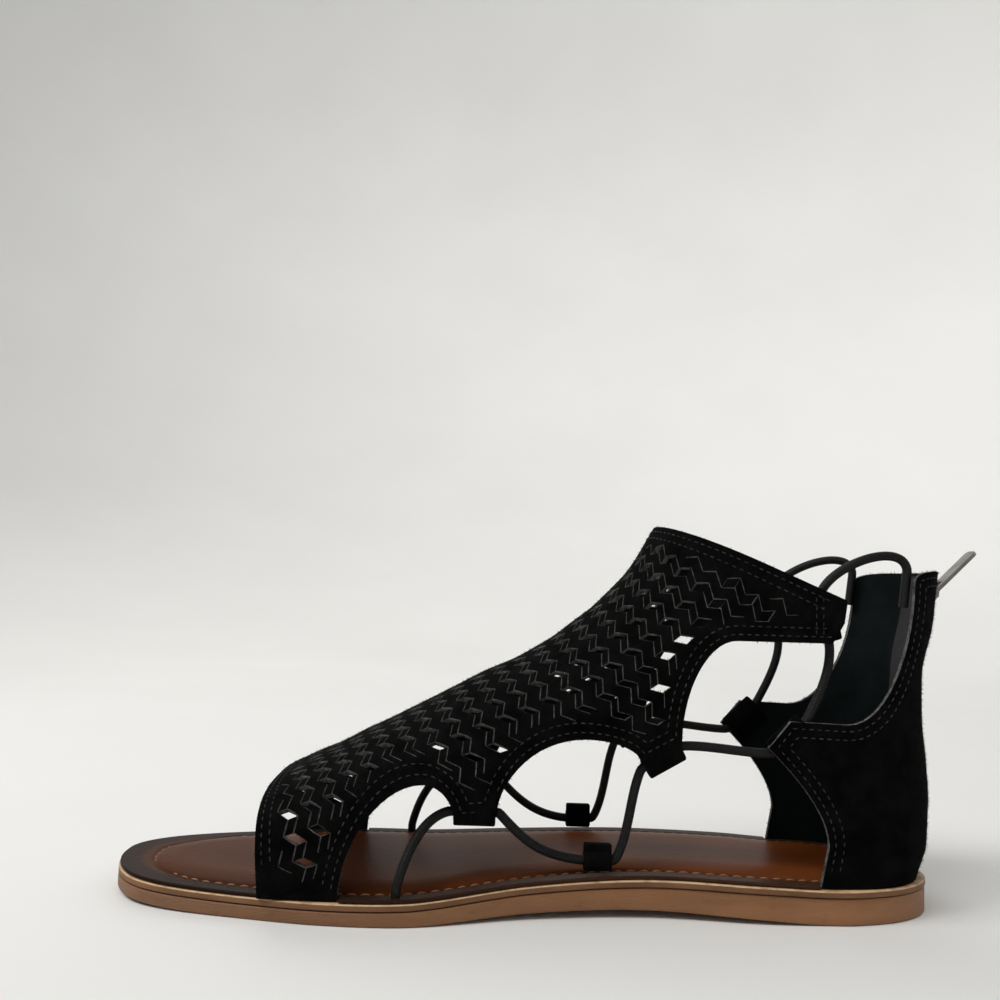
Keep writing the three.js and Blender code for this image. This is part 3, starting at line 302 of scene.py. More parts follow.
SOLE = {
    "at": [0, 0.046, 0.115, 0.150, 0.231, 0.365, 0.500, 0.635, 0.731, 0.827, 0.923, 0.969, 1],
    "medial": [0.055, 0.262, 0.338, 0.345, 0.354, 0.322, 0.370, 0.482, 0.485, 0.433, 0.360, 0.272, 0.030],
    "lateral": [0.052, 0.256, 0.352, 0.364, 0.386, 0.400, 0.432, 0.498, 0.510, 0.428, 0.312, 0.212, 0.028],
    "arch": [0, 0, 0, 0, 0.55, 1, 0.75, 0, 0, 0, 0, 0, 0],
    "spring": [0, 0, 0, 0, 0, 0, 0, 0, 0, 0, 0.4, 0.75, 1],
    "heel": [1, 1, 1, 0.98, 0.86, 0.66, 0.38, 0.10, 0, 0, 0, 0, 0],
}
SHIELD = {
    "at": [0, 0.110, 0.233, 0.351, 0.476, 0.608, 0.754, 0.880, 1],
    "x": [0.8105, 0.753, 0.689, 0.628, 0.562, 0.4935, 0.425, 0.372, 0.3345],
    "z": [0.276, 0.340, 0.411, 0.482, 0.558, 0.634, 0.742, 0.856, 0.992],
    "lean": [3, 10, 17, 25, 34, 43, 54, 62, 67.5],
    "half": [0.472, 0.482, 0.468, 0.425, 0.392, 0.372, 0.352, 0.340, 0.332],
    "crown": [0.135, 0.165, 0.195, 0.210, 0.220, 0.230, 0.240, 0.245, 0.250],
    "square": [3.0, 2.6, 2.35, 2.25, 2.2, 2.2, 2.2, 2.15, 2.1],
    "tuck": [0.24, 0.12, 0.06, 0.10, 0.09, 0.04, 0.02, 0.01, 0],
}
COUNTER = {
    "at": [0, 0.110, 0.190, 0.310, 0.430, 0.560, 0.690, 0.830, 1],
    "back": [0.020, 0.008, -0.003, -0.007, -0.003, 0.004, 0.002, -0.009, -0.018],
    "half": [0.335, 0.338, 0.343, 0.346, 0.346, 0.344, 0.342, 0.340, 0.336],
    "bend": [0.155, 0.155, 0.155, 0.150, 0.145, 0.135, 0.125, 0.115, 0.105],
}


def read(table, name, at, key="at"):
    """Cubic pieces through the rows, each slope from the two neighbours, and straight on past the ends."""
    keys, values = np.array(table[key], float), np.array(table[name], float)
    at = np.asarray(at, float)
    inside = np.clip(at, keys[0], keys[-1])
    last = len(keys) - 1
    i = np.clip(np.searchsorted(keys, inside) - 1, 0, last - 1)
    before, after = np.maximum(i - 1, 0), np.minimum(i + 2, last)
    span = keys[i + 1] - keys[i]
    rise = (values[i + 1] - values[before]) / (keys[i + 1] - keys[before])
    fall = (values[after] - values[i]) / (keys[after] - keys[i])
    t = (inside - keys[i]) / span
    found = (2 * t**3 - 3 * t**2 + 1) * values[i] + (t**3 - 2 * t**2 + t) * span * rise
    found = found + (3 * t**2 - 2 * t**3) * values[i + 1] + (t**3 - t**2) * span * fall
    return found + np.where(at > inside, fall, rise) * (at - inside)


def sole_turn(x):
    """Place on the sole as an angle, so that its round ends are smooth curves."""
    return np.arccos(1 - 2 * np.clip(np.asarray(x, float) / SOLE_LENGTH, 0, 1)) / np.pi


SOLE["turn"] = sole_turn(np.array(SOLE["at"]) * SOLE_LENGTH)


def medial_half(x):
    """Half width on the inner side, from the table."""
    return BALL_WIDTH * read(SOLE, "medial", sole_turn(x), "turn")


def lateral_half(x):
    """Half width on the outer side, from the table."""
    return BALL_WIDTH * read(SOLE, "lateral", sole_turn(x), "turn")


def centre_line(x):
    """Middle between the two sides."""
    return (medial_half(x) - lateral_half(x)) / 2


def half_width(x):
    """Half of the whole width."""
    return (medial_half(x) + lateral_half(x)) / 2


print("width at the ball:", round(float(2 * half_width(0.7 * SOLE_LENGTH)), 1), "mm")

# %% [markdown]
# ## Sole: outsole and rand
# The outsole is one moulding of brown rubber, thick under the heel and thin at the ball, with a low arch.
# A thin darker rand lies on it, and at the heel it stands a little proud. Each could be an extruded outline
# with a bevel, but the thickness changes along the foot, so a ring of points is carried from the heel to
# the toe instead: up the inner side, over the top, down the outer side and back under the bottom.

# %% Heights of the layers
OUTSOLE_HEEL, OUTSOLE_BALL = 8.1, 3.9
MIDSOLE_THICK, MIDSOLE_LIP = 2.0, 0.6
INSOLE_EDGE, INSOLE_PAD = 0.9, 1.3
ARCH_LIFT, TOE_SPRING = 2.4, 1.5


def smooth_step(value, low, high):
    """3t^2 - 2t^3 with t running from 0 at low to 1 at high."""
    t = np.clip((value - low) / (high - low), 0, 1)
    return t * t * (3 - 2 * t)


def floor_height(x):
    """Underside of the sole: arch and toe spring."""
    share = np.clip(x / SOLE_LENGTH, 0, 1)
    arch = np.maximum(read(SOLE, "arch", share), 0)
    spring = np.maximum(read(SOLE, "spring", share), 0)
    return ARCH_LIFT * arch + TOE_SPRING * spring


def outsole_top(x):
    """Underside plus a thickness that goes from the heel's to the ball's."""
    heel = np.clip(read(SOLE, "heel", np.clip(x / SOLE_LENGTH, 0, 1)), 0, 1)
    return floor_height(x) + OUTSOLE_BALL + (OUTSOLE_HEEL - OUTSOLE_BALL) * heel


def midsole_low(x):
    """A hair over the outsole."""
    return outsole_top(x) + GAP


def midsole_top(x):
    """Underside plus thickness."""
    return midsole_low(x) + MIDSOLE_THICK


def insole_low(x):
    """A hair over the rand."""
    return midsole_top(x) + GAP


def insole_top(x):
    """Edge height of the insole."""
    return insole_low(x) + INSOLE_EDGE


def sole_ring(inset, edge, stations, top_lines, bottom_lines):
    """Rings of points across the sole. edge(x) gives (inset, height) up one side, from bottom to top."""
    share = (1 - np.cos(np.pi * np.arange(stations + 1) / stations)) / 2
    outline_x = SOLE_LENGTH * share
    x = inset + (SOLE_LENGTH - 2 * inset) * share
    cuts, heights = edge(outline_x)
    cuts = cuts + inset
    keep = cuts * np.minimum(1, half_width(outline_x)[:, None] / (3 * np.abs(cuts) + 1e-9))
    inner = medial_half(outline_x)[:, None] - keep
    outer = keep - lateral_half(outline_x)[:, None]
    over = np.linspace(0, 1, top_lines + 2)[None, 1:-1]
    under = np.linspace(0, 1, bottom_lines + 2)[None, 1:-1]
    top = inner[:, -1:] + (outer[:, -1:] - inner[:, -1:]) * over
    bottom = outer[:, :1] + (inner[:, :1] - outer[:, :1]) * under
    y = np.concatenate([inner, top, outer[:, ::-1], bottom], 1)
    z = np.concatenate([
        heights, np.repeat(heights[:, -1:], top_lines, 1),
        heights[:, ::-1], np.repeat(heights[:, :1], bottom_lines, 1),
    ], 1)
    return np.stack([np.repeat(x[:, None], y.shape[1], 1), y, z], -1)


def rounded(low, high, soft_low, soft_high, out=0.0, steps=4):
    """Side of a layer: a quarter round of radius soft_low, straight up, and one of radius soft_high."""
    turn = np.linspace(0, np.pi / 2, steps)
    low_cut, low_rise = soft_low * (1 - np.sin(turn)), soft_low * (1 - np.cos(turn))
    high_cut, high_rise = soft_high * (1 - np.sin(turn))[::-1], soft_high * (1 - np.cos(turn))[::-1]
    ones = np.ones_like(low)[:, None]
    out = np.broadcast_to(np.asarray(out, float), low.shape)[:, None]
    cuts = np.concatenate([low_cut * ones - out, high_cut * ones - out], 1)
    heights = np.concatenate([low[:, None] + low_rise, high[:, None] - high_rise], 1)
    return cuts, heights


# %% [markdown]
# ## Finishes of rubber and rand
# The rubber is tan brown with paler streaks, darker towards the toe and scuffed low down. The rand is
# darker, and its upper corner is rubbed to a pale line. The line could be a mesh of its own, but it lies at
# one height in the layer, so a number at each point tells the finish where it is.

# %% Rubber and rand materials
def sole_rubber():
    """Tan brown rubber: paler streaks along the foot, darker towards the toe and grey scuffs low down."""
    material, tree, shader = finish("outsole_rubber", 0.52, Specular_IOR_Level=0.4)
    at = place(tree, (1, 1, 5))
    along = node(tree, "ShaderNodeSeparateXYZ", {"Vector": place(tree)}).outputs["X"]
    toe = node(tree, "ShaderNodeMapRange", {"Value": along, "From Min": 0.05, "From Max": 0.24}).outputs[0]
    base = ramp(tree, noise(tree, at, 26, 5.0), [(0.3, (0.215, 0.094, 0.037)), (0.72, (0.31, 0.142, 0.058))])
    dark = blend(tree, "MIX", (1, 1, 1), (0.70, 0.76, 0.85), toe)
    worn = noise(tree, place(tree, (1, 1, 2)), 75, 7.0, 0.72)
    scuff = ramp(tree, worn, [(0.56, (1, 1, 1)), (0.74, (0.66, 0.62, 0.60))])
    colour = blend(tree, "MULTIPLY", blend(tree, "MULTIPLY", base, dark), scuff)
    tree.links.new(colour, shader.inputs["Base Color"])
    bump(tree, shader, noise(tree, place(tree, (1, 1, 8)), 240, 5.0, 0.7), 0.00022)
    return material


def rand_leather():
    """Dark brown bonded layer whose upper corner is rubbed to a pale straw line."""
    material, tree, shader = finish("rand_leatherboard", 0.6, Specular_IOR_Level=0.3)
    at = place(tree, (1, 1, 3))
    base = ramp(tree, noise(tree, at, 60, 5.0), [(0.3, (0.135, 0.062, 0.026)), (0.7, (0.220, 0.108, 0.050))])
    edge = node(tree, "ShaderNodeAttribute", attribute_name="rubbed").outputs["Fac"]
    broken = node(tree, "ShaderNodeMapRange", {
        "Value": noise(tree, place(tree), 260, 4.0), "From Min": 0.3, "From Max": 0.55, "To Min": 0.35,
    }).outputs[0]
    share = node(tree, "ShaderNodeMath", {0: edge, 1: broken}, operation="MULTIPLY").outputs[0]
    colour = blend(tree, "MIX", base, (0.62, 0.42, 0.24), share)
    tree.links.new(colour, shader.inputs["Base Color"])
    bump(tree, shader, noise(tree, at, 700, 4.0, 0.7), 0.00018)
    return material


# %% Outsole and rand
TREAD_PITCH, TREAD_DEPTH, TREAD_MARGIN = 5.2, 0.9, 7.0


def make_outsole():
    """Ringed plate with shallow wavy tread grooves cut up into the underside, clear of its edge."""
    points = sole_ring(0, lambda x: rounded(floor_height(x), outsole_top(x), 0.8, 0.4), 420, 2, 44)
    x, y, z = np.moveaxis(points, -1, 0)
    under = np.abs(z - floor_height(x)) < 0.02
    side = np.minimum(medial_half(x) - y, y + lateral_half(x))
    clear = np.minimum(side, np.minimum(x, SOLE_LENGTH - x) * 0.8)
    room = smooth_step(clear, TREAD_MARGIN, TREAD_MARGIN + 1.5)
    wave = np.cos(2 * np.pi * (x / TREAD_PITCH + 0.35 * np.sin(y / 7)))
    points[..., 2] += np.where(under, TREAD_DEPTH * room * smooth_step(wave, 0.35, 0.75), 0)
    return make_piece("outsole_rubber", points, tube_faces(*points.shape[:2]), [sole_rubber()])


def make_rand():
    """Ringed plate, its side proud of the outsole at the heel, with the rubbed corner as an attribute."""
    def edge(x):
        lip = MIDSOLE_LIP * (1 - smooth_step(x, 0.3 * SOLE_LENGTH, 0.6 * SOLE_LENGTH))
        return rounded(midsole_low(x), midsole_top(x), 0.5, 0.4, lip, 8)

    points = sole_ring(0, edge, 240, 2, 2)
    piece = make_piece("rand_leatherboard", points, tube_faces(*points.shape[:2]), [rand_leather()])
    share = (points[..., 2] - midsole_low(points[..., 0])) / MIDSOLE_THICK
    mark_points(piece, "rubbed", smooth_step(share, 0.80, 0.88))
    return piece


outsole = make_outsole()
rand = make_rand()
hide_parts("outsole")
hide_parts("midsole")
print("outsole and rand:", count(outsole), count(rand), "triangles")

# %% [markdown]
# ## Insole
# A leather cover is pulled over a thin foam pad and stitched down round the edge, so there is a flat dark
# border, a furrow with pale orange stitches in it, and then the padded field, polished by the foot. The
# height is a function of the distance from the sole's edge, so the pad keeps its width all round.

# %% Insole surface
STITCH_INSET, TOE_INSET, MIDDLE_INSET = 6.6, 11.0, 38.0
FURROW_DEPTH, FURROW_HALF = 0.4, 0.8
PAD_SLOPE = 11.0


def outline_points(steps=900):
    """The sole's outline: the inner side from heel to toe, and the outer side back."""
    x = SOLE_LENGTH * (1 - np.cos(np.pi * np.arange(steps + 1) / steps)) / 2
    inner = np.stack([x, medial_half(x)], -1)
    outer = np.stack([x, -lateral_half(x)], -1)[::-1]
    return np.concatenate([inner, outer])


def edge_distance(x, y, outline=outline_points()):
    """Shortest distance to the outline, in blocks of points that fit the memory."""
    blocks = np.array_split(np.stack([x.ravel(), y.ravel()]), 40, axis=1)
    nearest = [np.hypot(*(outline.T[:, :, None] - block[:, None, :])).min(0) for block in blocks]
    return np.concatenate(nearest).reshape(x.shape)


def stitch_inset(x):
    """How far the stitches run from the edge: wider at the toe."""
    share = smooth_step(x, 0.87 * SOLE_LENGTH, 0.98 * SOLE_LENGTH)
    return STITCH_INSET + (TOE_INSET - STITCH_INSET) * share


def insole_rise(x, distance):
    """Pad height by its distance inside the stitches, less a furrow at the stitches."""
    inside = distance - stitch_inset(x)
    pad = INSOLE_PAD * (1 - (1 - np.clip(inside / PAD_SLOPE, 0, 1)) ** 2.2)
    return pad - FURROW_DEPTH * np.exp(-((inside + 0.1) / FURROW_HALF) ** 2)


def insole_leather():
    """Cognac leather, glossy and orange in the middle and burnt brown in the border, with painted shade
    darkening the front part that lies under the straps.
    """
    material, tree, shader = finish("insole_leather", 0.38, Specular_IOR_Level=0.03)
    depth = node(tree, "ShaderNodeAttribute", attribute_name="inside").outputs["Fac"]
    field = ramp(tree, depth, [
        (0.0, (0.045, 0.021, 0.013)), (0.16, (0.058, 0.025, 0.014)), (0.20, (0.140, 0.040, 0.011)),
        (0.42, (0.190, 0.052, 0.012)), (1.0, (0.125, 0.034, 0.009)),
    ])
    # Painted shade: from the middle of the foot to the toe the colour is darkened and cooled, where the toe
    # band and the shield shade the insole.
    along = node(tree, "ShaderNodeSeparateXYZ", {"Vector": place(tree)}).outputs["X"]
    toe = node(tree, "ShaderNodeMapRange", {"Value": along, "From Min": 0.10, "From Max": 0.19}).outputs[0]
    field = blend(tree, "MULTIPLY", field, (0.50, 0.52, 0.60), toe)
    worn_share = noise(tree, place(tree, (0.5, 1, 1)), 22, 4.0)
    worn = ramp(tree, worn_share, [(0.3, (0.62, 0.58, 0.56)), (0.66, (1, 1, 1))])
    tree.links.new(blend(tree, "MULTIPLY", field, worn), shader.inputs["Base Color"])
    pores = node(tree, "ShaderNodeTexVoronoi", {"Vector": place(tree), "Scale": 900}).outputs["Distance"]
    bump(tree, shader, pores, 0.00008, 0.6)
    return material


def make_insole():
    """Ringed plate with a fine top whose height follows the distance from the edge."""
    points = sole_ring(GAP, lambda x: rounded(insole_low(x), insole_top(x), 0.15, 0.4), 300, 110, 2)
    x, y, z = np.moveaxis(points, -1, 0)
    distance = edge_distance(x, y)
    points[..., 2] += np.where(z > insole_top(x) - 0.02, insole_rise(x, distance), 0)
    piece = make_piece("insole_cover", points, tube_faces(*points.shape[:2]), [insole_leather()])
    mark_points(piece, "inside", np.clip(distance / MIDDLE_INSET, 0, 1))
    return piece


insole = make_insole()
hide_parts("insole")
print("insole:", count(insole), "triangles")

# %% [markdown]
# ## Stitches
# A stitch is a short thread that dips into the leather at both ends. Hundreds of them lie along the seams,
# so one small spindle is bent to each place by array sums and all of a seam becomes one mesh.

# %% Stitch maker
SPINDLE_SIDES, SPINDLE_RINGS = 6, 5
# Pitch, length and thickness of the insole's stitches and of the upper's.
INSOLE_THREAD = (4.1, 3.1, 0.62)
UPPER_THREAD = (2.5, 1.6, 0.42)


def run_lengths(line):
    """Way from the first point of a line to each of its points."""
    return np.concatenate([[0], np.cumsum(np.linalg.norm(np.diff(line, axis=0), axis=1))])


def read_line(values, lengths, marks):
    """Every column of the values along a line, read between its points at the marks."""
    return np.stack([np.interp(marks, lengths, column) for column in values.T], -1)


def walk(path, normals, pitch, reach=0.3):
    """Points, directions and normals at equal distances along a line of points."""
    lengths = run_lengths(path)
    marks = np.arange(pitch / 2, lengths[-1], pitch)
    way = read_line(path, lengths, marks + reach) - read_line(path, lengths, marks - reach)
    return read_line(path, lengths, marks), unit(way), unit(read_line(normals, lengths, marks))


def spindles(centres, directions, ups, length, width, sink=0.35):
    """Threads: rings of radius sin(pi t) round a chord that dives at its two ends."""
    t = np.linspace(0.06, 0.94, SPINDLE_RINGS)
    turn = 2 * np.pi * np.arange(SPINDLE_SIDES) / SPINDLE_SIDES
    asides = unit(np.cross(directions, ups))
    ups = unit(np.cross(asides, directions))
    radius = width / 2 * np.sin(np.pi * t) ** 0.5
    dive = -sink * width * (2 * t - 1) ** 2
    shape = centres[:, None, None] + directions[:, None, None] * (length * (t - 0.5))[None, :, None, None]
    shape = shape + ups[:, None, None] * (dive[:, None] + radius[:, None] * np.sin(turn))[None, :, :, None]
    shape = shape + asides[:, None, None] * (radius[:, None] * np.cos(turn))[None, :, :, None]
    one = tube_faces(SPINDLE_RINGS, SPINDLE_SIDES)
    return shape.reshape(-1, 3), [many(block, SPINDLE_RINGS * SPINDLE_SIDES, len(centres)) for block in one]


def sew(name, runs, thread, pitch, length, width, slot):
    """One mesh of stitches along several runs of (path, normals), both as arrays of points."""
    walks = zip(*[walk(path, normals, pitch) for path, normals in runs])
    centres, directions, ups = [np.concatenate(parts) for parts in walks]
    piece = make_piece(name, *spindles(centres, directions, ups, length, width), [thread])
    print(name + ":", len(centres), "stitches,", count(piece), "triangles")
    return piece


# %% Insole stitches
def insole_seam():
    """The line where the distance to the edge is the stitch inset: the outline moved inwards."""
    outline = outline_points(400)
    closed = np.concatenate([outline, outline[:1]])
    lengths = run_lengths(closed)
    even = read_line(closed, lengths, np.linspace(0, lengths[-1], 700))[:-1]
    way = unit(np.roll(even, -3, 0) - np.roll(even, 3, 0))
    inward = np.stack([way[:, 1], -way[:, 0]], -1)
    line = even + inward * stitch_inset(even[:, 0])[:, None]
    line = line[edge_distance(line[:, 0], line[:, 1]) > stitch_inset(line[:, 0]) - 0.25]
    line = np.concatenate([line, line[:1]])
    return np.column_stack([line, insole_top(line[:, 0]) - FURROW_DEPTH + 0.28])


seam = insole_seam()
upward = np.tile([0.0, 0.0, 1.0], (len(seam), 1))
insole_stitches = sew("insole_stitches", [(seam, upward)], thread_tan, *INSOLE_THREAD, "insole")

# %% [markdown]
# ## Surfaces of the upper
# Shield and counter are walls of even thickness. A section is worked out at every half millimetre, and a
# point of the wall is found by its place along the wall, its distance across from the middle line, and its
# depth under the outer face. Everything that is cut or sewn into the wall uses the same two numbers.

# %% Wall surfaces
GRAIN = 0.5
HEEL_SQUARE = 2.3


def round_top(half, crown, square, turn):
    """Superellipse quarter: width half * sin^(2/n), drop crown * (1 - cos^(2/n))."""
    power = 2 / square
    return crown * (1 - np.cos(turn).clip(0) ** power), half * np.sin(turn).clip(0) ** power


def shield_sections(along):
    """Arches that lean back from the ridge: a round top, then a straight side that tucks in."""
    at = along / SHIELD_RUN
    get = {name: read(SHIELD, name, at)[:, None] for name in SHIELD if name != "at"}
    lean = np.radians(get["lean"])
    turn = np.linspace(0, np.pi / 2, 61)[None]
    half, crown = BALL_WIDTH * get["half"], SHIELD_HEIGHT * get["crown"]
    drop, y = round_top(half, crown, get["square"], turn)
    drop = np.concatenate([drop, crown + SHIELD_REACH], 1)
    y = np.concatenate([y, half - SHIELD_REACH * get["tuck"]], 1)
    x = SOLE_LENGTH * get["x"] - np.sin(lean) * drop
    z = SHIELD_HEIGHT * get["z"] - np.cos(lean) * drop
    return np.stack([x, y, z], -1)


def counter_sections(along):
    """Level sections: a round heel that runs out into a straight side."""
    at = along / COUNTER_HEIGHT
    back, bend = (SOLE_LENGTH * read(COUNTER, name, at)[:, None] for name in ("back", "bend"))
    half = BALL_WIDTH * read(COUNTER, "half", at)[:, None]
    turn = np.linspace(0, np.pi / 2, 61)[None]
    run, y = round_top(half, bend - back, HEEL_SQUARE, turn)
    x = np.concatenate([back + run, np.full_like(half, COUNTER_REACH)], 1)
    y = np.concatenate([y, half], 1)
    return np.stack([x, y, np.repeat(along[:, None], x.shape[1], 1)], -1)


class Skin:
    """The outer face of a wall. A point is found by its place along, its distance across and its depth."""

    def __init__(self, sections, low, high, reach, turn, lift, creases):
        self.low, self.turn, self.lift, self.creases = low, turn, lift, creases
        alongs = np.arange(low, high, GRAIN)
        lines = sections(alongs)
        steps = np.linalg.norm(np.diff(lines, axis=1), axis=2)
        marks = np.concatenate([np.zeros((len(lines), 1)), np.cumsum(steps, 1)], 1)
        across = np.arange(0, reach, GRAIN)
        rows = [[np.interp(across, mark, line[:, k]) for k in range(3)] for mark, line in zip(marks, lines)]
        self.table = np.moveaxis(np.array(rows), 1, 2)

    def bare(self, along, across):
        """Table reading between its four nearest entries, mirrored about the sole's centre line."""
        along, across = np.broadcast_arrays(np.asarray(along, float), np.asarray(across, float))
        a = np.clip((along - self.low) / GRAIN, 0, self.table.shape[0] - 1.001)
        c = np.clip(np.abs(across) / GRAIN, 0, self.table.shape[1] - 1.001)
        i, j = a.astype(int), c.astype(int)
        f, g = (a - i)[..., None], (c - j)[..., None]
        near = self.table[i, j] * (1 - g) + self.table[i, j + 1] * g
        far = self.table[i + 1, j] * (1 - g) + self.table[i + 1, j + 1] * g
        found = near * (1 - f) + far * f
        middle = centre_line(np.maximum(found[..., 0], 0))
        found[..., 1] = middle + np.where(across < 0, -1, 1) * found[..., 1]
        return found

    def out(self, along, across, reach=0.6):
        """Outward direction: across product of the two small steps on the surface."""
        ahead = self.bare(along + reach, across) - self.bare(along - reach, across)
        aside = self.bare(along, across + reach) - self.bare(along, across - reach)
        return self.turn * unit(np.cross(ahead, aside))

    def at(self, along, across, depth=0.0):
        """Point at a depth under the outer face, which sinks by the depth of the creases."""
        along, across = np.broadcast_arrays(np.asarray(along, float), np.asarray(across, float))
        lift = np.asarray(self.lift - depth - fold_depth(self.creases, along, across), float)[..., None]
        return self.bare(along, across) + self.out(along, across) * lift

    def find(self, x, z):
        """Nearest table entry in side view, then steps that solve the miss in x and z for both numbers."""
        x, z = np.ravel(x).astype(float), np.ravel(z).astype(float)
        flat = self.table[..., [0, 2]].reshape(-1, 2)
        nearest = np.array([np.argmin(((flat - spot) ** 2).sum(1)) for spot in np.stack([x, z], -1)])
        i, j = np.unravel_index(nearest, self.table.shape[:2])
        along, across = self.low + GRAIN * i, GRAIN * j
        for _ in range(3):
            miss = np.stack([x, z], -1) - self.bare(along, across)[:, [0, 2]]
            ahead = (self.bare(along + GRAIN, across) - self.bare(along - GRAIN, across))[:, [0, 2]]
            aside = (self.bare(along, across + GRAIN) - self.bare(along, across - GRAIN))[:, [0, 2]]
            area = ahead[:, 0] * aside[:, 1] - ahead[:, 1] * aside[:, 0]
            area = 2 * GRAIN * np.where(np.abs(area) < 0.05, np.inf, area) / (2 * GRAIN) ** 2
            along = along + np.clip((miss[:, 0] * aside[:, 1] - miss[:, 1] * aside[:, 0]) / area, -1, 1)
            across = across + np.clip((ahead[:, 0] * miss[:, 1] - ahead[:, 1] * miss[:, 0]) / area, -1, 1)
        return along, across


# Creases: middle along and across, half width along and across in mm, depth, and how far it bows.
SHIELD_CREASES = [
    (24, 0, 6, 30, 0.35, 0.10), (58, 30, 9, 14, 0.45, 0.30), (96, 0, 8, 26, 0.40, 0.12),
    (112, 0, 8, 30, 0.55, 0.10), (128, 0, 7, 25, 0.40, 0.06), (84, 44, 6, 12, 0.50, -0.20),
    (104, -30, 7, 14, 0.55, 0.25), (70, -34, 6, 13, 0.45, 0.20),
]
COUNTER_CREASES = [
    (30, 0, 7, 30, 0.45, 0.05), (46, 26, 6, 14, 0.55, 0.25), (48, -24, 6, 15, 0.55, 0.20),
    (78, 12, 8, 12, 0.50, 0.10), (84, -14, 8, 12, 0.45, -0.10), (20, 44, 6, 14, 0.40, 0.15),
]


def fold_depth(creases, along, across):
    """Sum of troughs depth * exp(-(distance from a bowed line)^2) * exp(-(way across)^4), with low ridges."""
    total = 0
    for middle, side, half, reach, depth, bow in creases:
        off = (along - middle - bow * (across - side)) / half
        fade = np.exp(-(((across - side) / reach) ** 4))
        ridges = 0.45 * (np.exp(-((off - 1.7) ** 2)) + np.exp(-((off + 1.7) ** 2)))
        total = total + depth * fade * (np.exp(-(off**2)) - ridges)
    return total


shield_skin = Skin(shield_sections, -4, SHIELD_RUN + 26, SHIELD_REACH, -1, WALL, SHIELD_CREASES)
counter_skin = Skin(counter_sections, -4, COUNTER_HEIGHT + 6, COUNTER_REACH, 1, 0, COUNTER_CREASES)
print("tables of the upper:", shield_skin.table.shape, counter_skin.table.shape)

# %% [markdown]
# ## Side outlines
# The scalloped lower edge of the shield and the swept edge of the counter are drawn once in side view, with
# quarter rounds between the tabs, and pushed through the whole width to trim both sides alike.

# %% Outlines
ROUNDNESS = 0.52
SHIELD_SIDE = {
    "bandFoot": (0.716, 0.020), "frontCrown": (0.627, 0.327), "tabOneFront": (0.591, 0.245),
    "tabOneRear": (0.542, 0.250), "midCrown": (0.440, 0.440), "tabTwoFront": (0.374, 0.385),
    "tabTwoRear": (0.326, 0.440), "strapCorner": (0.262, 0.698), "strapLow": (0.138, 0.700),
    "strapHigh": (0.131, 0.800),
}
COUNTER_SIDE = {
    "frontFoot": (0.158, 0.020), "frontWaist": (0.149, 0.210), "waistPull": (0.149, 0.315),
    "wingLow": (0.222, 0.480), "wingHigh": (0.196, 0.556), "saddle": (0.128, 0.552),
    "rimCorner": (0.043, 0.960),
}


def side_places(table, height):
    """Shares of the length and of a height as points in mm."""
    return {name: np.array([SOLE_LENGTH * x, height * z]) for name, (x, z) in table.items()}


def bend_to(start, first, second, end, steps=14):
    """Cubic curve: (1-t)^3 a + 3t(1-t)^2 b + 3t^2(1-t) c + t^3 d, without its first point."""
    t = np.linspace(0, 1, steps + 1)[1:, None]
    return (1 - t) ** 3 * start + 3 * t * (1 - t) ** 2 * first + 3 * t**2 * (1 - t) * second + t**3 * end


def bow_to(start, pull, end):
    """Curve pulled towards one point: both of its handles reach 2/3 of the way there."""
    return bend_to(start, start + (pull - start) * 2 / 3, end + (pull - end) * 2 / 3, end)


def quarter(start, end, upright_first):
    """Quarter round that leaves upright and arrives level, or the reverse."""
    reach = ROUNDNESS * (end - start)
    if upright_first:
        return bend_to(start, start + (0, reach[1]), end - (reach[0], 0), end)
    return bend_to(start, start + (reach[0], 0), end - (0, reach[1]), end)


def shield_outline():
    """From the toe band's foot, round over the top, and back along the scallops."""
    p = side_places(SHIELD_SIDE, SHIELD_HEIGHT)
    foot = np.array([p["bandFoot"][0], float(midsole_top(p["bandFoot"][0])) + GAP])
    high = 2 * SHIELD_HEIGHT
    corners = [(SOLE_LENGTH, foot[1]), (SOLE_LENGTH, high), (p["strapHigh"][0], high), p["strapHigh"]]
    return np.concatenate([
        corners, [p["strapLow"], p["strapCorner"]], quarter(p["strapCorner"], p["tabTwoRear"], False),
        [p["tabTwoFront"]], quarter(p["tabTwoFront"], p["midCrown"], True),
        quarter(p["midCrown"], p["tabOneRear"], False), [p["tabOneFront"]],
        quarter(p["tabOneFront"], p["frontCrown"], True), quarter(p["frontCrown"], foot, False),
    ])


def counter_outline():
    """From behind the heel, forward along the foot, up over the wing and back along the collar."""
    p = side_places(COUNTER_SIDE, COUNTER_HEIGHT)
    behind = -SOLE_LENGTH / 4
    foot = np.array([p["frontFoot"][0], float(midsole_top(p["frontFoot"][0])) + GAP])
    pull = np.array([p["frontWaist"][0], p["waistPull"][1]])
    corner = np.array([p["rimCorner"][0], COUNTER_HEIGHT])
    top = np.array([0, COUNTER_HEIGHT])
    return np.concatenate([
        [(behind, float(midsole_top(0.0)) + GAP), foot, p["frontWaist"]],
        bow_to(p["frontWaist"], pull, p["wingLow"]), [p["wingHigh"], p["saddle"]],
        quarter(p["saddle"], p["rimCorner"], False), bow_to(p["rimCorner"], corner, top),
        [(behind, COUNTER_HEIGHT)],
    ])


def prism(outline):
    """A side outline pushed through the whole width."""
    count_out = len(outline)
    points = np.concatenate([
        np.stack([outline[:, 0], np.full(count_out, y), outline[:, 1]], -1) for y in (-BALL_WIDTH, BALL_WIDTH)
    ])
    i = np.arange(count_out)
    j = (i + 1) % count_out
    return points, [np.stack([i, j, j + count_out, i + count_out], -1), np.stack([i[::-1], i + count_out])]


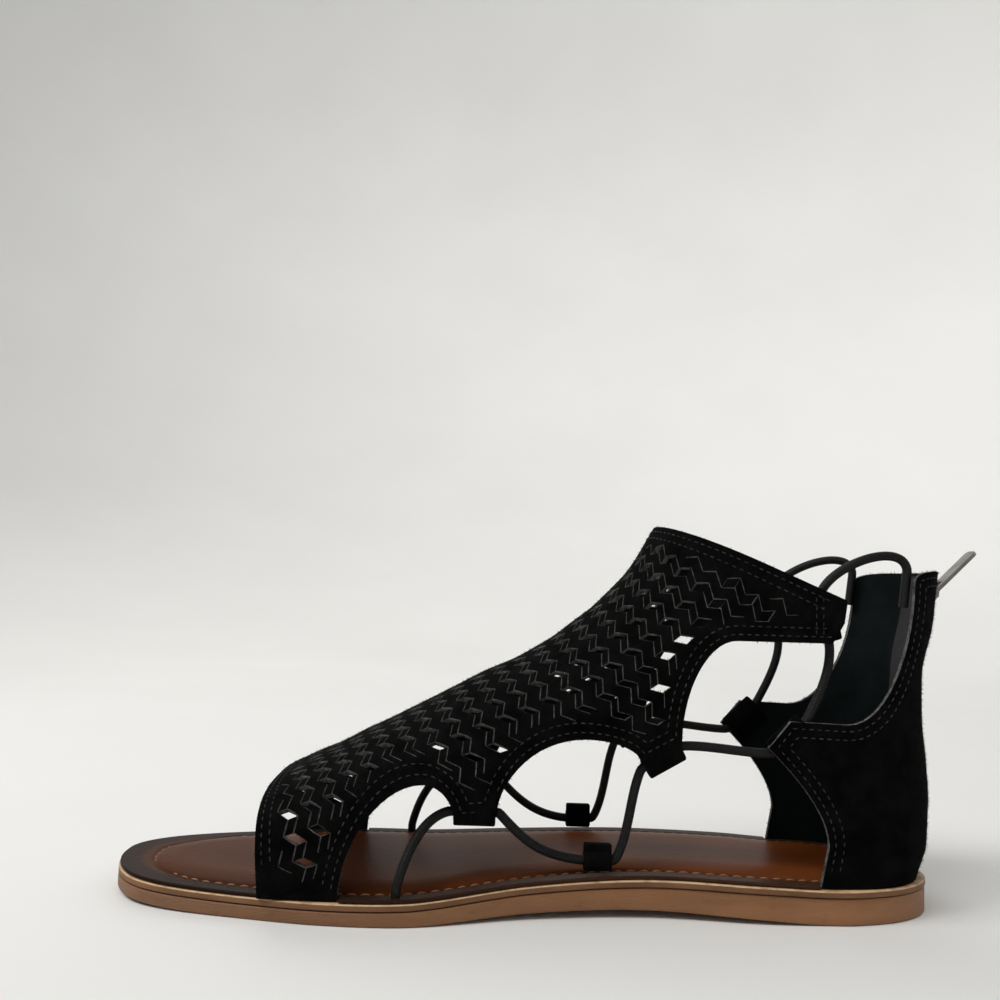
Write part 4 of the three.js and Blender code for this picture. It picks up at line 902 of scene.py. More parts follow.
def margin(outline, x, z):
    """Distance to the outline from inside, and less than nothing outside."""
    a, b = outline, np.roll(outline, -1, 0)
    spots = np.stack([np.ravel(x), np.ravel(z)], -1)[:, None]
    way = b - a
    share = np.clip(((spots - a) * way).sum(-1) / np.maximum((way**2).sum(-1), 1e-9), 0, 1)
    gap = np.linalg.norm(spots - a - share[..., None] * way, axis=-1).min(1)
    sx, sz = spots[..., 0], spots[..., 1]
    crosses = (a[:, 1] > sz) != (b[:, 1] > sz)
    rise = np.where(np.abs(way[:, 1]) < 1e-9, 1e-9, way[:, 1])
    left = sx < a[:, 0] + (sz - a[:, 1]) / rise * way[:, 0]
    inside = (crosses & left).sum(1) % 2 == 1
    return np.where(inside, gap, -gap).reshape(np.shape(x))


SHIELD_EDGE, COUNTER_EDGE = shield_outline(), counter_outline()
print("outline corners:", len(SHIELD_EDGE), len(COUNTER_EDGE))

# %% [markdown]
# ## Cutting
# A knife cut is a boolean: a closed cutter takes the leather away, and the new faces get the cutter's own
# finish, which is how the raw grey core of the hide comes to show in every hole.

# %% Wall and cut
LEATHER = [suede, lining, raw_edge]
CUT = 2


def wall(skin, alongs, acrosses, outer=0.0, inner=WALL):
    """Outer net, inner net and a rim between their edges, each net at its depth under the wall's face."""
    a, c = np.meshgrid(alongs, acrosses, indexing="ij")
    points = np.stack([skin.at(a, c, outer), skin.at(a, c, inner)]).reshape(-1, 3)
    rows, cols = a.shape
    face = net(rows, cols)
    step = rows * cols
    rim = np.concatenate([
        np.arange(cols - 1), np.arange(rows - 1) * cols + cols - 1,
        (rows - 1) * cols + np.arange(cols - 1, 0, -1), np.arange(rows - 1, 0, -1) * cols,
    ])
    after = np.roll(rim, -1)
    edge = np.stack([rim, rim + step, after + step, after], -1)
    kinds = np.repeat([0, 1, CUT], [len(face), len(face), len(edge)])
    return points, np.concatenate([face, face[:, ::-1] + step, edge]), kinds


def cut(piece, shape, operation, kind=CUT):
    """Applies one boolean with a throw-away cutter. New faces get the piece's finish number kind."""
    points, faces = shape
    faces = faces if isinstance(faces, list) else [faces]
    total = sum(len(block) for block in faces)
    looks = list(piece.data.materials)
    cutter = make_piece("cutter", points, faces, looks, np.full(total, kind), body=None)
    modifier = piece.modifiers.new("cut", "BOOLEAN")
    modifier.operation = operation
    modifier.solver = "MANIFOLD"
    modifier.object = cutter
    trimmed = bpy.data.meshes.new_from_object(piece.evaluated_get(bpy.context.evaluated_depsgraph_get()))
    piece.modifiers.clear()
    old = piece.data
    piece.data = trimmed
    bpy.data.meshes.remove(old)
    bpy.data.objects.remove(cutter)


def settle(piece, angle=38):
    """Soft shading with sharp lines where faces meet at more than an angle."""
    piece.data.shade_smooth()
    piece.data.set_sharp_from_angle(angle=np.radians(angle))


# %% [markdown]
# ## Notches in the insole
# The suede goes down beside the foot into the sole, so the insole is cut away where it stands. The knife
# could be a simple block, but then a slit would show. It has the wall's own bent shape instead, a hair
# thicker inside and reaching out past the insole's edge.

# %% Notches in the insole
NOTCH_REACH, NOTCH_HIGH = 8.0, 24.0
BAND_LEVEL, HEEL_LEVEL = 9.0, 12.0


def cut_notch(skin, alongs, acrosses):
    """Takes the wall's own shape, from far outside to GAP inside it, out of the insole."""
    ribbon = wall(skin, alongs, acrosses, -NOTCH_REACH, WALL + GAP)
    cut(insole, ribbon[:2], "DIFFERENCE", 0)


band_x, heel_x = SHIELD_SIDE["bandFoot"][0] * SOLE_LENGTH, COUNTER_SIDE["frontFoot"][0] * SOLE_LENGTH
band_rear, band_side = shield_skin.find(band_x - GAP, BAND_LEVEL)
for side in (-1, 1):
    reach = side * np.linspace(band_side[0] - NOTCH_HIGH, SHIELD_REACH - 1, 30)
    cut_notch(shield_skin, np.linspace(-GAP, band_rear[0], 14), reach)
heel_side = counter_skin.find(heel_x + GAP, HEEL_LEVEL)[1][0]
levels = np.linspace(0.04 * COUNTER_HEIGHT, NOTCH_HIGH, 16)
cut_notch(counter_skin, levels, np.linspace(-heel_side, heel_side, 90))
settle(insole, 50)
print("insole with notches:", count(insole), "triangles")

# %% [markdown]
# ## The lattice
# The shield is cut in slanting rows, which lean forward at the toe, run straight in the middle and lean back
# at the ankle. Each row has two zigzag score lines, and between them, wherever the zigzag runs level, a
# small slanted window goes right through the suede. The level strokes are pulled open a little, so they are
# cut once more as wider grooves. The windows could be a picture on a flat sheet, but then their raw edges
# would not show. The zigzag is a list of knots in (place along, distance across), so that windows and score
# lines share the same corners.

# %% Lattice plan
ROW_PITCH, LINK_PITCH = 7.25, 7.0
FIRST_ROW, FIRST_LINK, LEVEL_LINK = 8.0, 6.0, 34.0
WINDOW_LENGTH, WINDOW_SHEAR, KNIFE_SLIP = 3.3, 2.6, 0.12
EDGE_MARGIN, END_MARGIN = 7.6, 8.2
PLAIN_STRAP = 49.0
LATTICE = {
    "at": [0, 0.12, 0.57, 0.83, 1],
    "slant": [0.30, 0.30, 0.0, -0.28, -0.28],
    "width": [3.2, 2.9, 2.3, 2.9, 3.3],
}
rng = np.random.default_rng(7)


def window_width(row):
    """Width of a row's windows along the foot, from the table."""
    return read(LATTICE, "width", np.clip(row / SHIELD_RUN, 0, 1))


def lattice_along(row, across):
    """Along = row + slant * (|across| - level)."""
    return row + read(LATTICE, "slant", np.clip(row / SHIELD_RUN, 0, 1)) * (np.abs(across) - LEVEL_LINK)


def lattice_at(row, across, depth):
    """Point of the lattice in or over the wall."""
    return shield_skin.at(lattice_along(row, across), across, depth)


def lattice_room(row, across):
    """Free distance to the nearest edge of the shield. The strap's end is left plain."""
    along = lattice_along(row, across)
    spot = shield_skin.bare(along, across)
    ends = np.minimum(along, SHIELD_RUN - along) - (END_MARGIN - EDGE_MARGIN)
    room = np.minimum(margin(SHIELD_EDGE, spot[..., 0], spot[..., 2]), ends)
    return np.where(spot[..., 0] < PLAIN_STRAP, -1, room)


ROWS = FIRST_ROW + ROW_PITCH * np.arange(-1, np.floor((SHIELD_RUN + 20) / ROW_PITCH))
LINKS = FIRST_LINK + LINK_PITCH * np.arange(0, 10)


PLACES = np.meshgrid(ROWS, np.concatenate([-LINKS[::-1], LINKS]), indexing="ij")


def with_room(row, across, room):
    """The places (row, across) that stand far enough from every edge."""
    good = lattice_room(row, across) > room
    return row[good], across[good]


def window_cutters(row, across):
    """Slanted prisms right through the wall, each corner a little off, as hand-set knives are."""
    shear = np.sign(across) * WINDOW_SHEAR / 2
    ways = np.array([(-1, -1), (1, -1), (1, 1), (-1, 1)])
    d_row = ways[:, 0] * window_width(row)[:, None] / 2 + ways[:, 1] * shear[:, None]
    d_across = np.repeat((ways[:, 1] * WINDOW_LENGTH / 2)[None], len(row), 0)
    d_row = d_row + rng.uniform(-KNIFE_SLIP, KNIFE_SLIP, d_row.shape)
    d_across = d_across + rng.uniform(-KNIFE_SLIP, KNIFE_SLIP, d_row.shape)
    r, c = row[:, None] + d_row, across[:, None] + d_across
    points = np.stack([lattice_at(r, c, -1.0), lattice_at(r, c, WALL + 1.2)], 1)
    one = np.array([[0, 1, 5, 4], [1, 2, 6, 5], [2, 3, 7, 6], [3, 0, 4, 7], [3, 2, 1, 0], [4, 5, 6, 7]])
    return points.reshape(-1, 3), many(one, 8, len(row))


# %% [markdown]
# ## Score lines and grooves
# The knife also scores the zigzags into the face of the suede. They could be drawn as thin lines, but real
# cuts catch the light and show the grey core. Each run of knots becomes one thin wedge, and each level
# stroke, where the strips pull apart, a wider groove shaped like a lens.

# %% Score lines and grooves
SCORE_DEPTH, SCORE_HALF, SCORE_OVER = 0.24, 0.13, 0.2
GOUGE_DEPTH, GOUGE_OVER = 0.42, 0.25
GOUGE = {"at": [0, 0.3, 0.6, 0.8, 1], "half": [0.40, 0.42, 0.36, 0.26, 0.22]}


def wedge_faces(rings):
    """Triangles of a three-sided tube with closed ends."""
    side = net(rings, 3, wrap_cols=True)
    ends = [[2, 1, 0], 3 * rings - 3 + np.arange(3)]
    return np.concatenate([side[:, [0, 1, 2]], side[:, [0, 2, 3]], ends])


def zigzag_knots():
    """Knots of one score line from the ridge outwards, as (distance across, offset along)."""
    low, high = LINKS - WINDOW_LENGTH / 2, LINKS + WINDOW_LENGTH / 2
    across = np.stack([low, high], -1).ravel()
    offset = np.tile([-WINDOW_SHEAR / 2, WINDOW_SHEAR / 2], len(LINKS))
    return np.concatenate([[0, 1.6], across]), np.concatenate([[-0.2, WINDOW_SHEAR / 2], offset])


def score_runs():
    """Every zigzag line cut into the runs of knots that have room, each as (rows, across)."""
    across, offset = zigzag_knots()
    across = np.concatenate([-across[:0:-1], across])
    offset = np.concatenate([offset[:0:-1], offset])
    runs = []
    for row in ROWS:
        for side in (-1, 1):
            line = row + side * window_width(row) / 2 + offset
            free = lattice_room(line, across) > EDGE_MARGIN - 2.6
            turns = np.flatnonzero(np.diff(np.concatenate([[0], free.astype(int), [0]])))
            runs += [(line[a:b], across[a:b]) for a, b in turns.reshape(-1, 2) if b - a > 1]
    return runs


def score_cutter(line, across):
    """A thin wedge along one run: two lips over the face and a tip under it, mitred at the knots."""
    knots = np.stack([line, across], -1)
    steps = unit(np.diff(knots, axis=0))
    sides = np.stack([-steps[:, 1], steps[:, 0]], -1)
    before, after = np.concatenate([sides[:1], sides]), np.concatenate([sides, sides[-1:]])
    mitre = unit(before + after)
    mitre = mitre / np.maximum((mitre * after).sum(-1, keepdims=True), 0.45)
    half = SCORE_HALF * (SCORE_DEPTH + SCORE_OVER) / SCORE_DEPTH
    lips = [lattice_at(*(knots + way * mitre * half).T, -SCORE_OVER) for way in (1, -1)]
    points = np.stack([*lips, lattice_at(line, across, SCORE_DEPTH)], 1)
    return points.reshape(-1, 3), wedge_faces(len(line))


def gouge_cutters():
    """Lens-shaped grooves on the level strokes, where the strips pull apart and show more of the core."""
    row, across = PLACES
    row = np.concatenate([(row + side * window_width(row) / 2).ravel() for side in (-1, 1)])
    row, across = with_room(row, np.tile(across.ravel(), 2), EDGE_MARGIN - 1.6)
    row, across = row[:, None], across[:, None]
    t = np.array([-0.98, -0.55, 0.0, 0.55, 0.98])
    wide = np.array([0.3, 0.85, 1, 0.85, 0.3]) * read(GOUGE, "half", np.clip(row / SHIELD_RUN, 0, 1))
    wide = wide * rng.uniform(0.7, 1.15, row.shape)
    line = row + np.sign(across) * t * WINDOW_SHEAR / 2
    reach = across + t * WINDOW_LENGTH / 2
    lips = [lattice_at(line + way * wide, reach, -GOUGE_OVER) for way in (1, -1)]
    points = np.stack([*lips, lattice_at(line, reach, GOUGE_DEPTH)], 2)
    return points.reshape(-1, 3), many(wedge_faces(len(t)), 3 * len(t), len(row))


# %% Shield
def suede_wall(name, skin, alongs, reach, edge, cutters):
    """A wall trimmed to its side outline, and then cut by each of the cutters in turn."""
    shape = wall(skin, alongs, np.linspace(-reach + 1, reach - 1, 117))
    piece = make_piece(name + "_suede", *shape[:2], LEATHER, shape[2])
    cut(piece, prism(edge), "INTERSECT")
    for cutter in cutters:
        cut(piece, cutter, "DIFFERENCE")
    settle(piece)
    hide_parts(name)
    print(name + ":", count(piece), "triangles")
    return piece


windows = with_room(*PLACES, EDGE_MARGIN)
scores = [score_cutter(*run) for run in score_runs()]
shield = suede_wall(
    "shield", shield_skin, np.linspace(0, SHIELD_RUN, 112), SHIELD_REACH, SHIELD_EDGE,
    [window_cutters(*windows), join(scores), gouge_cutters()],
)
print("lattice:", len(windows[0]), "windows and", len(scores), "score lines")

# %% [markdown]
# ## Counter
# The heel upper is a second suede wall, lined with smooth dark leather. It rises at the back, is slit for
# the zip, and its wings reach forward to carry the cord.

# %% Counter
ZIP_SLIT, ZIP_FOOT = 5.0, 34.0
ZIP_MIDDLE = float(centre_line(0.0))


BOX_WAYS = np.array([(a, b, c) for a in (-1, 1) for b in (-1, 1) for c in (-1, 1)])
BOX_FACES = np.array([[0, 1, 3, 2], [4, 6, 7, 5], [0, 4, 5, 1], [2, 3, 7, 6], [0, 2, 6, 4], [1, 5, 7, 3]])


def zip_slot():
    """A block right through the back of the wall: middle + half size * way, for the eight corners."""
    middle = (-SOLE_LENGTH / 80, ZIP_MIDDLE, ZIP_FOOT + COUNTER_HEIGHT / 2)
    half = (SOLE_LENGTH * 9 / 80, ZIP_SLIT / 2, COUNTER_HEIGHT / 2)
    return middle + BOX_WAYS * half, BOX_FACES


levels = np.linspace(0.05 * COUNTER_HEIGHT, COUNTER_HEIGHT + GAP, 74)
counter = suede_wall("counter", counter_skin, levels, COUNTER_REACH, COUNTER_EDGE, [zip_slot()])

# %% [markdown]
# ## Where the cord is held
# Each tab of the shield and each wing of the counter is folded round the cord and sewn down, and a folded
# leather loop comes up out of the sole at the arch. The cord's whole way is fixed by these holds, so their
# places and directions come first.

# %% Cord holds
CORD_DIAMETER, TUNNEL_SKIN = 3.0, 1.3
TAB_WIDTH, TAB_DEPTH = 12.5, 7.8
CORD_BORE = CORD_DIAMETER + 2 * GAP
TAB_THICK = CORD_BORE + 2 * TUNNEL_SKIN
LOOP_WIDTH, LOOP_RISE, LOOP_INSET, LOOP_AT = 8.5, 7.2, 4.2, 0.420
ANCHOR_AT, ANCHOR_INSET = 0.652, 3.4
COLLAR_AT, COLLAR_DROP, CORD_MOUTH = 0.046, 12.0, 1.0
TUNNELS = {
    "tabOne": (0.567, 0.256, 0), "tabTwo": (0.346, 0.395, 30),
    "tabThree": (0.1525, 0.757, 103), "wing": (0.1945, 0.456, 44),
}
SIDES = {"medial": 1, "lateral": -1}


def in_side_view(degrees):
    """Direction in side view, from straight back towards straight up."""
    angle = np.radians(degrees)
    return np.array([-np.cos(angle), 0, np.sin(angle)])


def tunnel(name, side):
    """Middle and axis of a folded tab's bore."""
    share_x, share_z, turn = TUNNELS[name]
    x, z = SOLE_LENGTH * share_x, SHIELD_HEIGHT * share_z
    skin = counter_skin if name == "wing" else shield_skin
    along, across = skin.find(x, z)
    outside = skin.bare(along, across)[0, 1] - centre_line(x)
    centre = np.array([x, centre_line(x) + side * (outside - TAB_THICK / 2), z])
    return centre, in_side_view(turn)


def sole_loop(side):
    """Middle and axis of the sole loop's bore."""
    x = LOOP_AT * SOLE_LENGTH
    y = centre_line(x) + side * (half_width(x) - LOOP_INSET)
    return np.array([x, y, insole_top(x) + LOOP_RISE - TUNNEL_SKIN - CORD_BORE / 2]), np.array([-1.0, 0, 0])


def sleeve(hold, outer, width, soft=0.35):
    """A folded sleeve: outer loop, rounded ends and the round bore, closed both ways."""
    centre, axis = hold
    flat = np.stack([np.array([0.0, 1, 0]), -np.cross(np.array([0.0, 1, 0]), axis)])
    turn = np.unwrap(np.arctan2(outer[:, 1], outer[:, 0]))
    inner = np.stack([np.cos(turn), np.sin(turn)], -1) * CORD_BORE / 2
    small = outer * (1 - soft / np.linalg.norm(outer, axis=1, keepdims=True))
    loops = [(small, -width / 2), (outer, soft - width / 2), (outer, width / 2 - soft), (small, width / 2)]
    loops += [(inner, width / 2), (inner, 0), (inner, -width / 2)]
    rings = [centre + loop @ flat + along * axis for loop, along in loops]
    return np.concatenate(rings), net(len(loops), len(outer), wrap_rows=True, wrap_cols=True)


# %% [markdown]
# ## Folded tabs
# Seen from the end of its bore, a tab is a strip that goes round the cord and closes up into the wall. It
# could be part of the wall's own mesh, but as a closed sleeve of its own it needs no joining.

# %% Folded tabs
FOLD_RISES = {"tabOne": 7.4, "tabTwo": 7.4, "tabThree": 4.2, "wing": 7.4}
FOLD_PROUD = 0.15


def folded(out_reach, rise, fold_way):
    """A strip folded round the bore: half an ellipse below, and two legs that close up into the wall."""
    in_reach = TAB_THICK / 2
    middle, half = (out_reach - in_reach) / 2, (out_reach + in_reach) / 2
    turn = np.linspace(0, np.pi, 25)
    under = np.stack([middle + half * np.cos(turn), TAB_DEPTH / 2 * np.sin(turn)], -1)
    share = np.linspace(0, 1, 9)[1:, None]
    ease = share**2 * (3 - 2 * share)
    top_in, top_out = out_reach - WALL - TUNNEL_SKIN, out_reach - WALL / 2
    rise_in = np.column_stack([-in_reach + (top_in + in_reach) * ease, -rise * share])
    rise_out = np.column_stack([out_reach + (top_out - out_reach) * ease, -rise * share])
    return np.concatenate([under, rise_in, rise_out[::-1]]) * (1, fold_way)


def make_tabs(names, title, out_lift, fold_way):
    """All folded tabs of one wall in one mesh, each a hair proud of the wall's outer face."""
    parts = []
    for name in names:
        for side in SIDES.values():
            outer = folded(TAB_THICK / 2 + out_lift, FOLD_RISES[name], fold_way) * (side, 1)
            parts.append(sleeve(tunnel(name, side), outer, TAB_WIDTH))
    points, faces = join(parts)
    piece = make_piece(title, points, faces, [suede])
    settle(piece, 50)
    return piece


shield_tabs = make_tabs(["tabOne", "tabTwo", "tabThree"], "shield_tabs", WALL + FOLD_PROUD, 1)
wing_tabs = make_tabs(["wing"], "wing_tabs", FOLD_PROUD, -1)
print("tabs:", count(shield_tabs) + count(wing_tabs), "triangles")


# %% [markdown]
# ## Sole loops
# At the arch a narrow strip comes up out of the sole, goes round the cord and goes down beside itself. It
# is the same kind of sleeve with another outer line: most of a circle, and two straight legs.

# %% Sole loops
def make_sole_loop(name, side):
    """A strip folded round the cord, its two ends together down into the insole."""
    centre, axis = sole_loop(side)
    foot = centre[2] - midsole_top(centre[0]) - GAP
    radius = TAB_THICK / 2
    gap = np.arcsin(TUNNEL_SKIN / radius)
    turn = np.linspace(-np.pi / 2 + gap, 3 * np.pi / 2 - gap, 40)
    arc = np.stack([radius * np.cos(turn), radius * np.sin(turn)], -1)
    legs = np.linspace(-radius * np.cos(gap), -foot, 8)[1:, None]
    down = np.insert(legs, 0, -TUNNEL_SKIN, axis=1)
    back = np.insert(legs[::-1], 0, TUNNEL_SKIN, axis=1)
    points, faces = sleeve((centre, axis), np.concatenate([arc, down, back]), LOOP_WIDTH)
    piece = make_piece("loop_strip_" + name, points, faces, [suede])
    settle(piece, 50)
    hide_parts("sole_loop_" + name)
    return piece


sole_loops = [make_sole_loop(name, side) for name, side in SIDES.items()]
print("sole loops:", [count(loop) for loop in sole_loops], "triangles")

# %% [markdown]
# ## Elastic cord
# A braided elastic of 3 mm is sewn under the insole near the ball, goes up through the first tab, down to
# the sole loop, up through the second tab and the wing, and through the strap's end into the collar. It is
# held at both ends and at every tab, so between two holds it is one cubic bow that leaves and arrives in
# the direction of its tunnels. The braid is real relief: fine ribs that wind round the cord.

# %% Cord path
# Each stretch between two holds: its two directions in side view, and how far they pull it.
STRETCHES = [
    (76, 12, 0.34), (-46, -6, 0.40), (58, 66, 0.30), (4, 2, 0.30), (62, 98, 0.32), (80, -84, 0.34),
]
PATH_STEP, PATH_SOFT = 0.2, 1.6


def collar_run(side):
    """Where the cord goes down inside the collar: top and low point."""
    high = COUNTER_HEIGHT - GAP
    along, across = counter_skin.find(COLLAR_AT * SOLE_LENGTH, high - COLLAR_DROP)
    depth = WALL + 2 * GAP + CORD_DIAMETER / 2
    return counter_skin.at([high, along[0]], side * across, depth)


def cord_path(side):
    """Straight runs through the holds and cubic bows between them, as one dense line."""
    x = ANCHOR_AT * SOLE_LENGTH
    anchor = np.array([x, centre_line(x) + side * (half_width(x) - ANCHOR_INSET), midsole_top(x) + GAP])
    lead = CORD_DIAMETER / 2 + CORD_MOUTH
    holds = [(anchor, anchor + (0, 0, INSOLE_EDGE + lead))]
    for name in ("tabOne", "loop", "tabTwo", "wing", "tabThree"):
        centre, axis = sole_loop(side) if name == "loop" else tunnel(name, side)
        reach = ((LOOP_WIDTH if name == "loop" else TAB_WIDTH) / 2 + CORD_MOUTH) * axis
        holds.append((centre - reach, centre + reach))
    holds.append(collar_run(side))
    line = [np.stack(holds[0])]
    for (leave, arrive, slack), (_, start), (end, beyond) in zip(STRETCHES, holds, holds[1:]):
        pull = slack * np.linalg.norm(end - start)
        first, second = start + pull * in_side_view(leave), end - pull * in_side_view(arrive)
        line += [bend_to(start, first, second, end, 40), beyond[None]]
    return np.concatenate(line)


def soften(path, spacing, reach):
    """Equal steps along the line, each point the mean of its neighbours within reach."""
    lengths = run_lengths(path)
    even = read_line(path, lengths, np.arange(0, lengths[-1] + spacing / 2, spacing))
    half = int(reach / spacing)
    padded = np.concatenate([np.repeat(even[:1], half, 0), even, np.repeat(even[-1:], half, 0)])
    kernel = np.hanning(2 * half + 3)[1:-1]
    kernel = kernel / kernel.sum()
    return np.stack([np.convolve(column, kernel, "valid") for column in padded.T], -1), lengths[-1]


# %% Elastic material and tubes
RIB_PITCH, RIB_DEPTH, RIB_WIND, CORD_SIDES = 0.85, 0.055, 2, 20


def elastic_braid():
    """Black yarn with a slight gloss and a painted highlight: each rib is lighter on its back, by the cord's
    own UV map.
    """
    material, tree, shader = finish("elastic_braid", 0.5, Specular_IOR_Level=0.22)
    uv = node(tree, "ShaderNodeUVMap", uv_map="UVMap").outputs["UV"]
    wave = {"Vector": uv, "Scale": 1.0, "Distortion": 1.5}
    rib_highlight = node(tree, "ShaderNodeTexWave", wave, bands_direction="X").outputs["Fac"]
    # Painted highlight: the lighter bands stand for light caught along the ribs of the black cord.
    colour = ramp(tree, rib_highlight, [(0.2, (0.001, 0.001, 0.001)), (0.9, (0.0065, 0.0065, 0.0065))])
    tree.links.new(colour, shader.inputs["Base Color"])
    bump(tree, shader, noise(tree, place(tree), 3200, 3.0), 0.00012)
    return material


def make_elastic(name, side, look):
    """Rings of radius R + rib * cos(2 pi s / pitch + wind * angle) along the path."""
    path, length = soften(cord_path(side), PATH_STEP, PATH_SOFT)
    way = unit(np.gradient(path, axis=0))
    aside = unit(np.array([0.0, 1, 0]) - way * way[:, 1:2])
    up = np.cross(way, aside)
    turn = 2 * np.pi * np.arange(CORD_SIDES) / CORD_SIDES
    run, turns = np.meshgrid(PATH_STEP * np.arange(len(path)), turn, indexing="ij")
    rib = RIB_DEPTH * np.cos(2 * np.pi * run / RIB_PITCH + RIB_WIND * turns)
    radius = (CORD_DIAMETER / 2 - RIB_DEPTH + rib)[..., None]
    round_way = aside[:, None] * np.cos(turn)[:, None] + up[:, None] * np.sin(turn)[:, None]
    points = path[:, None] + radius * round_way
    uv = np.stack([run, turns / np.pi], -1).reshape(-1, 2)
    piece = make_piece("elastic_braid_" + name, points, tube_faces(*run.shape), [look], uv=uv)
    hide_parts("elastic_" + name)
    print("elastic", name, "length", round(length, 1), "mm,", count(piece), "triangles")
    return piece


braid = elastic_braid()
elastics = [make_elastic(name, side, braid) for name, side in SIDES.items()]

# %% [markdown]
# ## Zip
# A metal zip closes the back of the counter. Its cloth tape is sewn to the lining, its teeth stand in the
# slit, and the slider sits at the top with its pull tab standing up and back.

# %% Zip tape and teeth
TAPE_WIDTH, TAPE_THICK, TAPE_OVERLAP, ZIP_TOP = 19.0, 0.7, 4.0, 1.5
TOOTH_PITCH, TOOTH_WIDTH, TOOTH_HIGH, TOOTH_DEEP, TOOTH_ASIDE = 1.3, 1.364, 0.75, 1.45, 0.55
gunmetal = grainy(
    "zip_gunmetal", (0.20, 0.19, 0.18), (0.30, 0.285, 0.265), 0.36, 300, 1500, 0.00002, metallic=1.0,
)
tape_cloth = grainy("zip_tape_cloth", (0.008, 0.008, 0.009), (0.016, 0.016, 0.017), 0.85, 900, 2400, 0.00015)


def make_tape():
    """A thin wall just inside the counter."""
    levels = np.linspace(ZIP_FOOT - TAPE_OVERLAP, COUNTER_HEIGHT - ZIP_TOP, 60)
    acrosses = np.linspace(-TAPE_WIDTH / 2, TAPE_WIDTH / 2, 24)
    depth = WALL + 1.5 * GAP
    points, faces, _ = wall(counter_skin, levels, acrosses, depth, depth + TAPE_THICK)
    piece = make_piece("zip_tape_weave", points, faces, [tape_cloth])
    settle(piece)
    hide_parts("zip_tape")
    return piece


def make_teeth():
    """Two rows of small blocks that mesh: every second tooth comes from the other side."""
    levels = np.arange(ZIP_FOOT + 1, COUNTER_HEIGHT - ZIP_TOP - 1, TOOTH_PITCH / 2)
    side = np.where(np.arange(len(levels)) % 2, 1.0, -1.0)
    a = levels[:, None] + BOX_WAYS[:, 0] * TOOTH_HIGH / 2
    c = side[:, None] * TOOTH_ASIDE + BOX_WAYS[:, 1] * TOOTH_WIDTH / 2
    depth = WALL - TOOTH_DEEP / 2 + BOX_WAYS[:, 2] * TOOTH_DEEP / 2 + 0 * a
    points = counter_skin.at(a, c, depth)
    faces = many(BOX_FACES, 8, len(levels))
    piece = make_piece("zip_teeth_rows", points, faces, [gunmetal], smooth=False)
    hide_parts("zip_teeth")
    return piece


zip_tape = make_tape()
zip_teeth = make_teeth()
for name in ("zip_slider", "zip_pull"):
    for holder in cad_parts[name].material_slots:
        holder.link = "OBJECT"
        holder.material = gunmetal
print("zip:", count(zip_tape), count(zip_teeth), "triangles")

# %% [markdown]
# ## Seams of the upper
# Two rows of black thread hold the lining along every edge. Each row is the side outline moved inwards, so
# it follows the scallops by itself, and it is laid on the wall by the wall's own two numbers.

# %% Seam lines
SEAM_INSETS = (2.0, 4.6)
SEAM_STEP, SEAM_OVER, SEAM_MISS = 0.8, 0.06, 0.4
STRAP_SEAMS = (7.4, 9.6)
STRAP_LOW_CORNER, TOE_LEVEL, ANKLE_LEVEL = 4, 16.0, 98.0


def inset_line(outline, stretch, inset):
    """A stretch of an outline moved inwards, kept only where the edge is really that far away."""
    lengths = run_lengths(stretch)
    line = read_line(stretch, lengths, np.arange(0, lengths[-1], SEAM_STEP))
    way = unit(np.gradient(line, axis=0))
    aside = np.stack([-way[:, 1], way[:, 0]], -1)
    middle = line[len(line) // 2] + 0.5 * aside[len(line) // 2]
    side = 1 if margin(outline, middle[0], middle[1]) > 0 else -1
    moved = line + side * inset * aside
    return moved[margin(outline, moved[:, 0], moved[:, 1]) > inset - 0.1]


def seam_line(skin, along, across):
    """Points a hair over the suede and their outward directions."""
    return skin.at(along, across, -SEAM_OVER), skin.out(along, across)


def seam_on(skin, spots, low, high):
    """The two mirrored runs over side-view spots, between two limits along the wall."""
    along, across = skin.find(*spots.T)
    shown = skin.bare(along, across)
    near = np.hypot(shown[:, 0] - spots[:, 0], shown[:, 2] - spots[:, 1]) < SEAM_MISS
    good = near & (along > low) & (along < high)
    return [seam_line(skin, along[good], side * across[good]) for side in (-1, 1)]


def shield_seams():
    """Lower edge, the strap's end, toe edge and ankle edge."""
    strap_x = SHIELD_SIDE["strapHigh"][0] * SOLE_LENGTH
    strap_z = np.arange(SHIELD_SIDE["strapLow"][1] * SHIELD_HEIGHT + 2, SHIELD_HEIGHT, SEAM_STEP)
    toe_reach = shield_skin.find(0.8 * SOLE_LENGTH, TOE_LEVEL)[1][0]
    ankle_reach = shield_skin.find((SHIELD_SIDE["strapHigh"][0] + 0.012) * SOLE_LENGTH, ANKLE_LEVEL)[1][0]
    runs = []
    for inset, from_end in zip(SEAM_INSETS, STRAP_SEAMS):
        low_edge = inset_line(SHIELD_EDGE, SHIELD_EDGE[STRAP_LOW_CORNER:], inset)
        runs += seam_on(shield_skin, low_edge, inset, SHIELD_RUN - inset)
        strap_end = np.stack([np.full_like(strap_z, strap_x + from_end), strap_z], -1)
        runs += seam_on(shield_skin, strap_end, 0, SHIELD_RUN - 1.5)
        for along, reach in ((inset, toe_reach), (SHIELD_RUN - inset, ankle_reach)):
            runs.append(seam_line(shield_skin, along, np.arange(-reach, reach, SEAM_STEP)))
    return runs


def counter_seams():
    """Front edge, wing, collar and both sides of the zip."""
    runs = []
    for inset in SEAM_INSETS:
        front = inset_line(COUNTER_EDGE, COUNTER_EDGE[1:-1], inset)
        runs += seam_on(counter_skin, front, 15, COUNTER_HEIGHT - inset)
        levels = np.arange(ZIP_FOOT - inset, COUNTER_HEIGHT - 2, SEAM_STEP)
        for side in (-1, 1):
            across = np.full_like(levels, side * (ZIP_SLIT / 2 + inset))
            runs.append(seam_line(counter_skin, levels, across))
    return runs


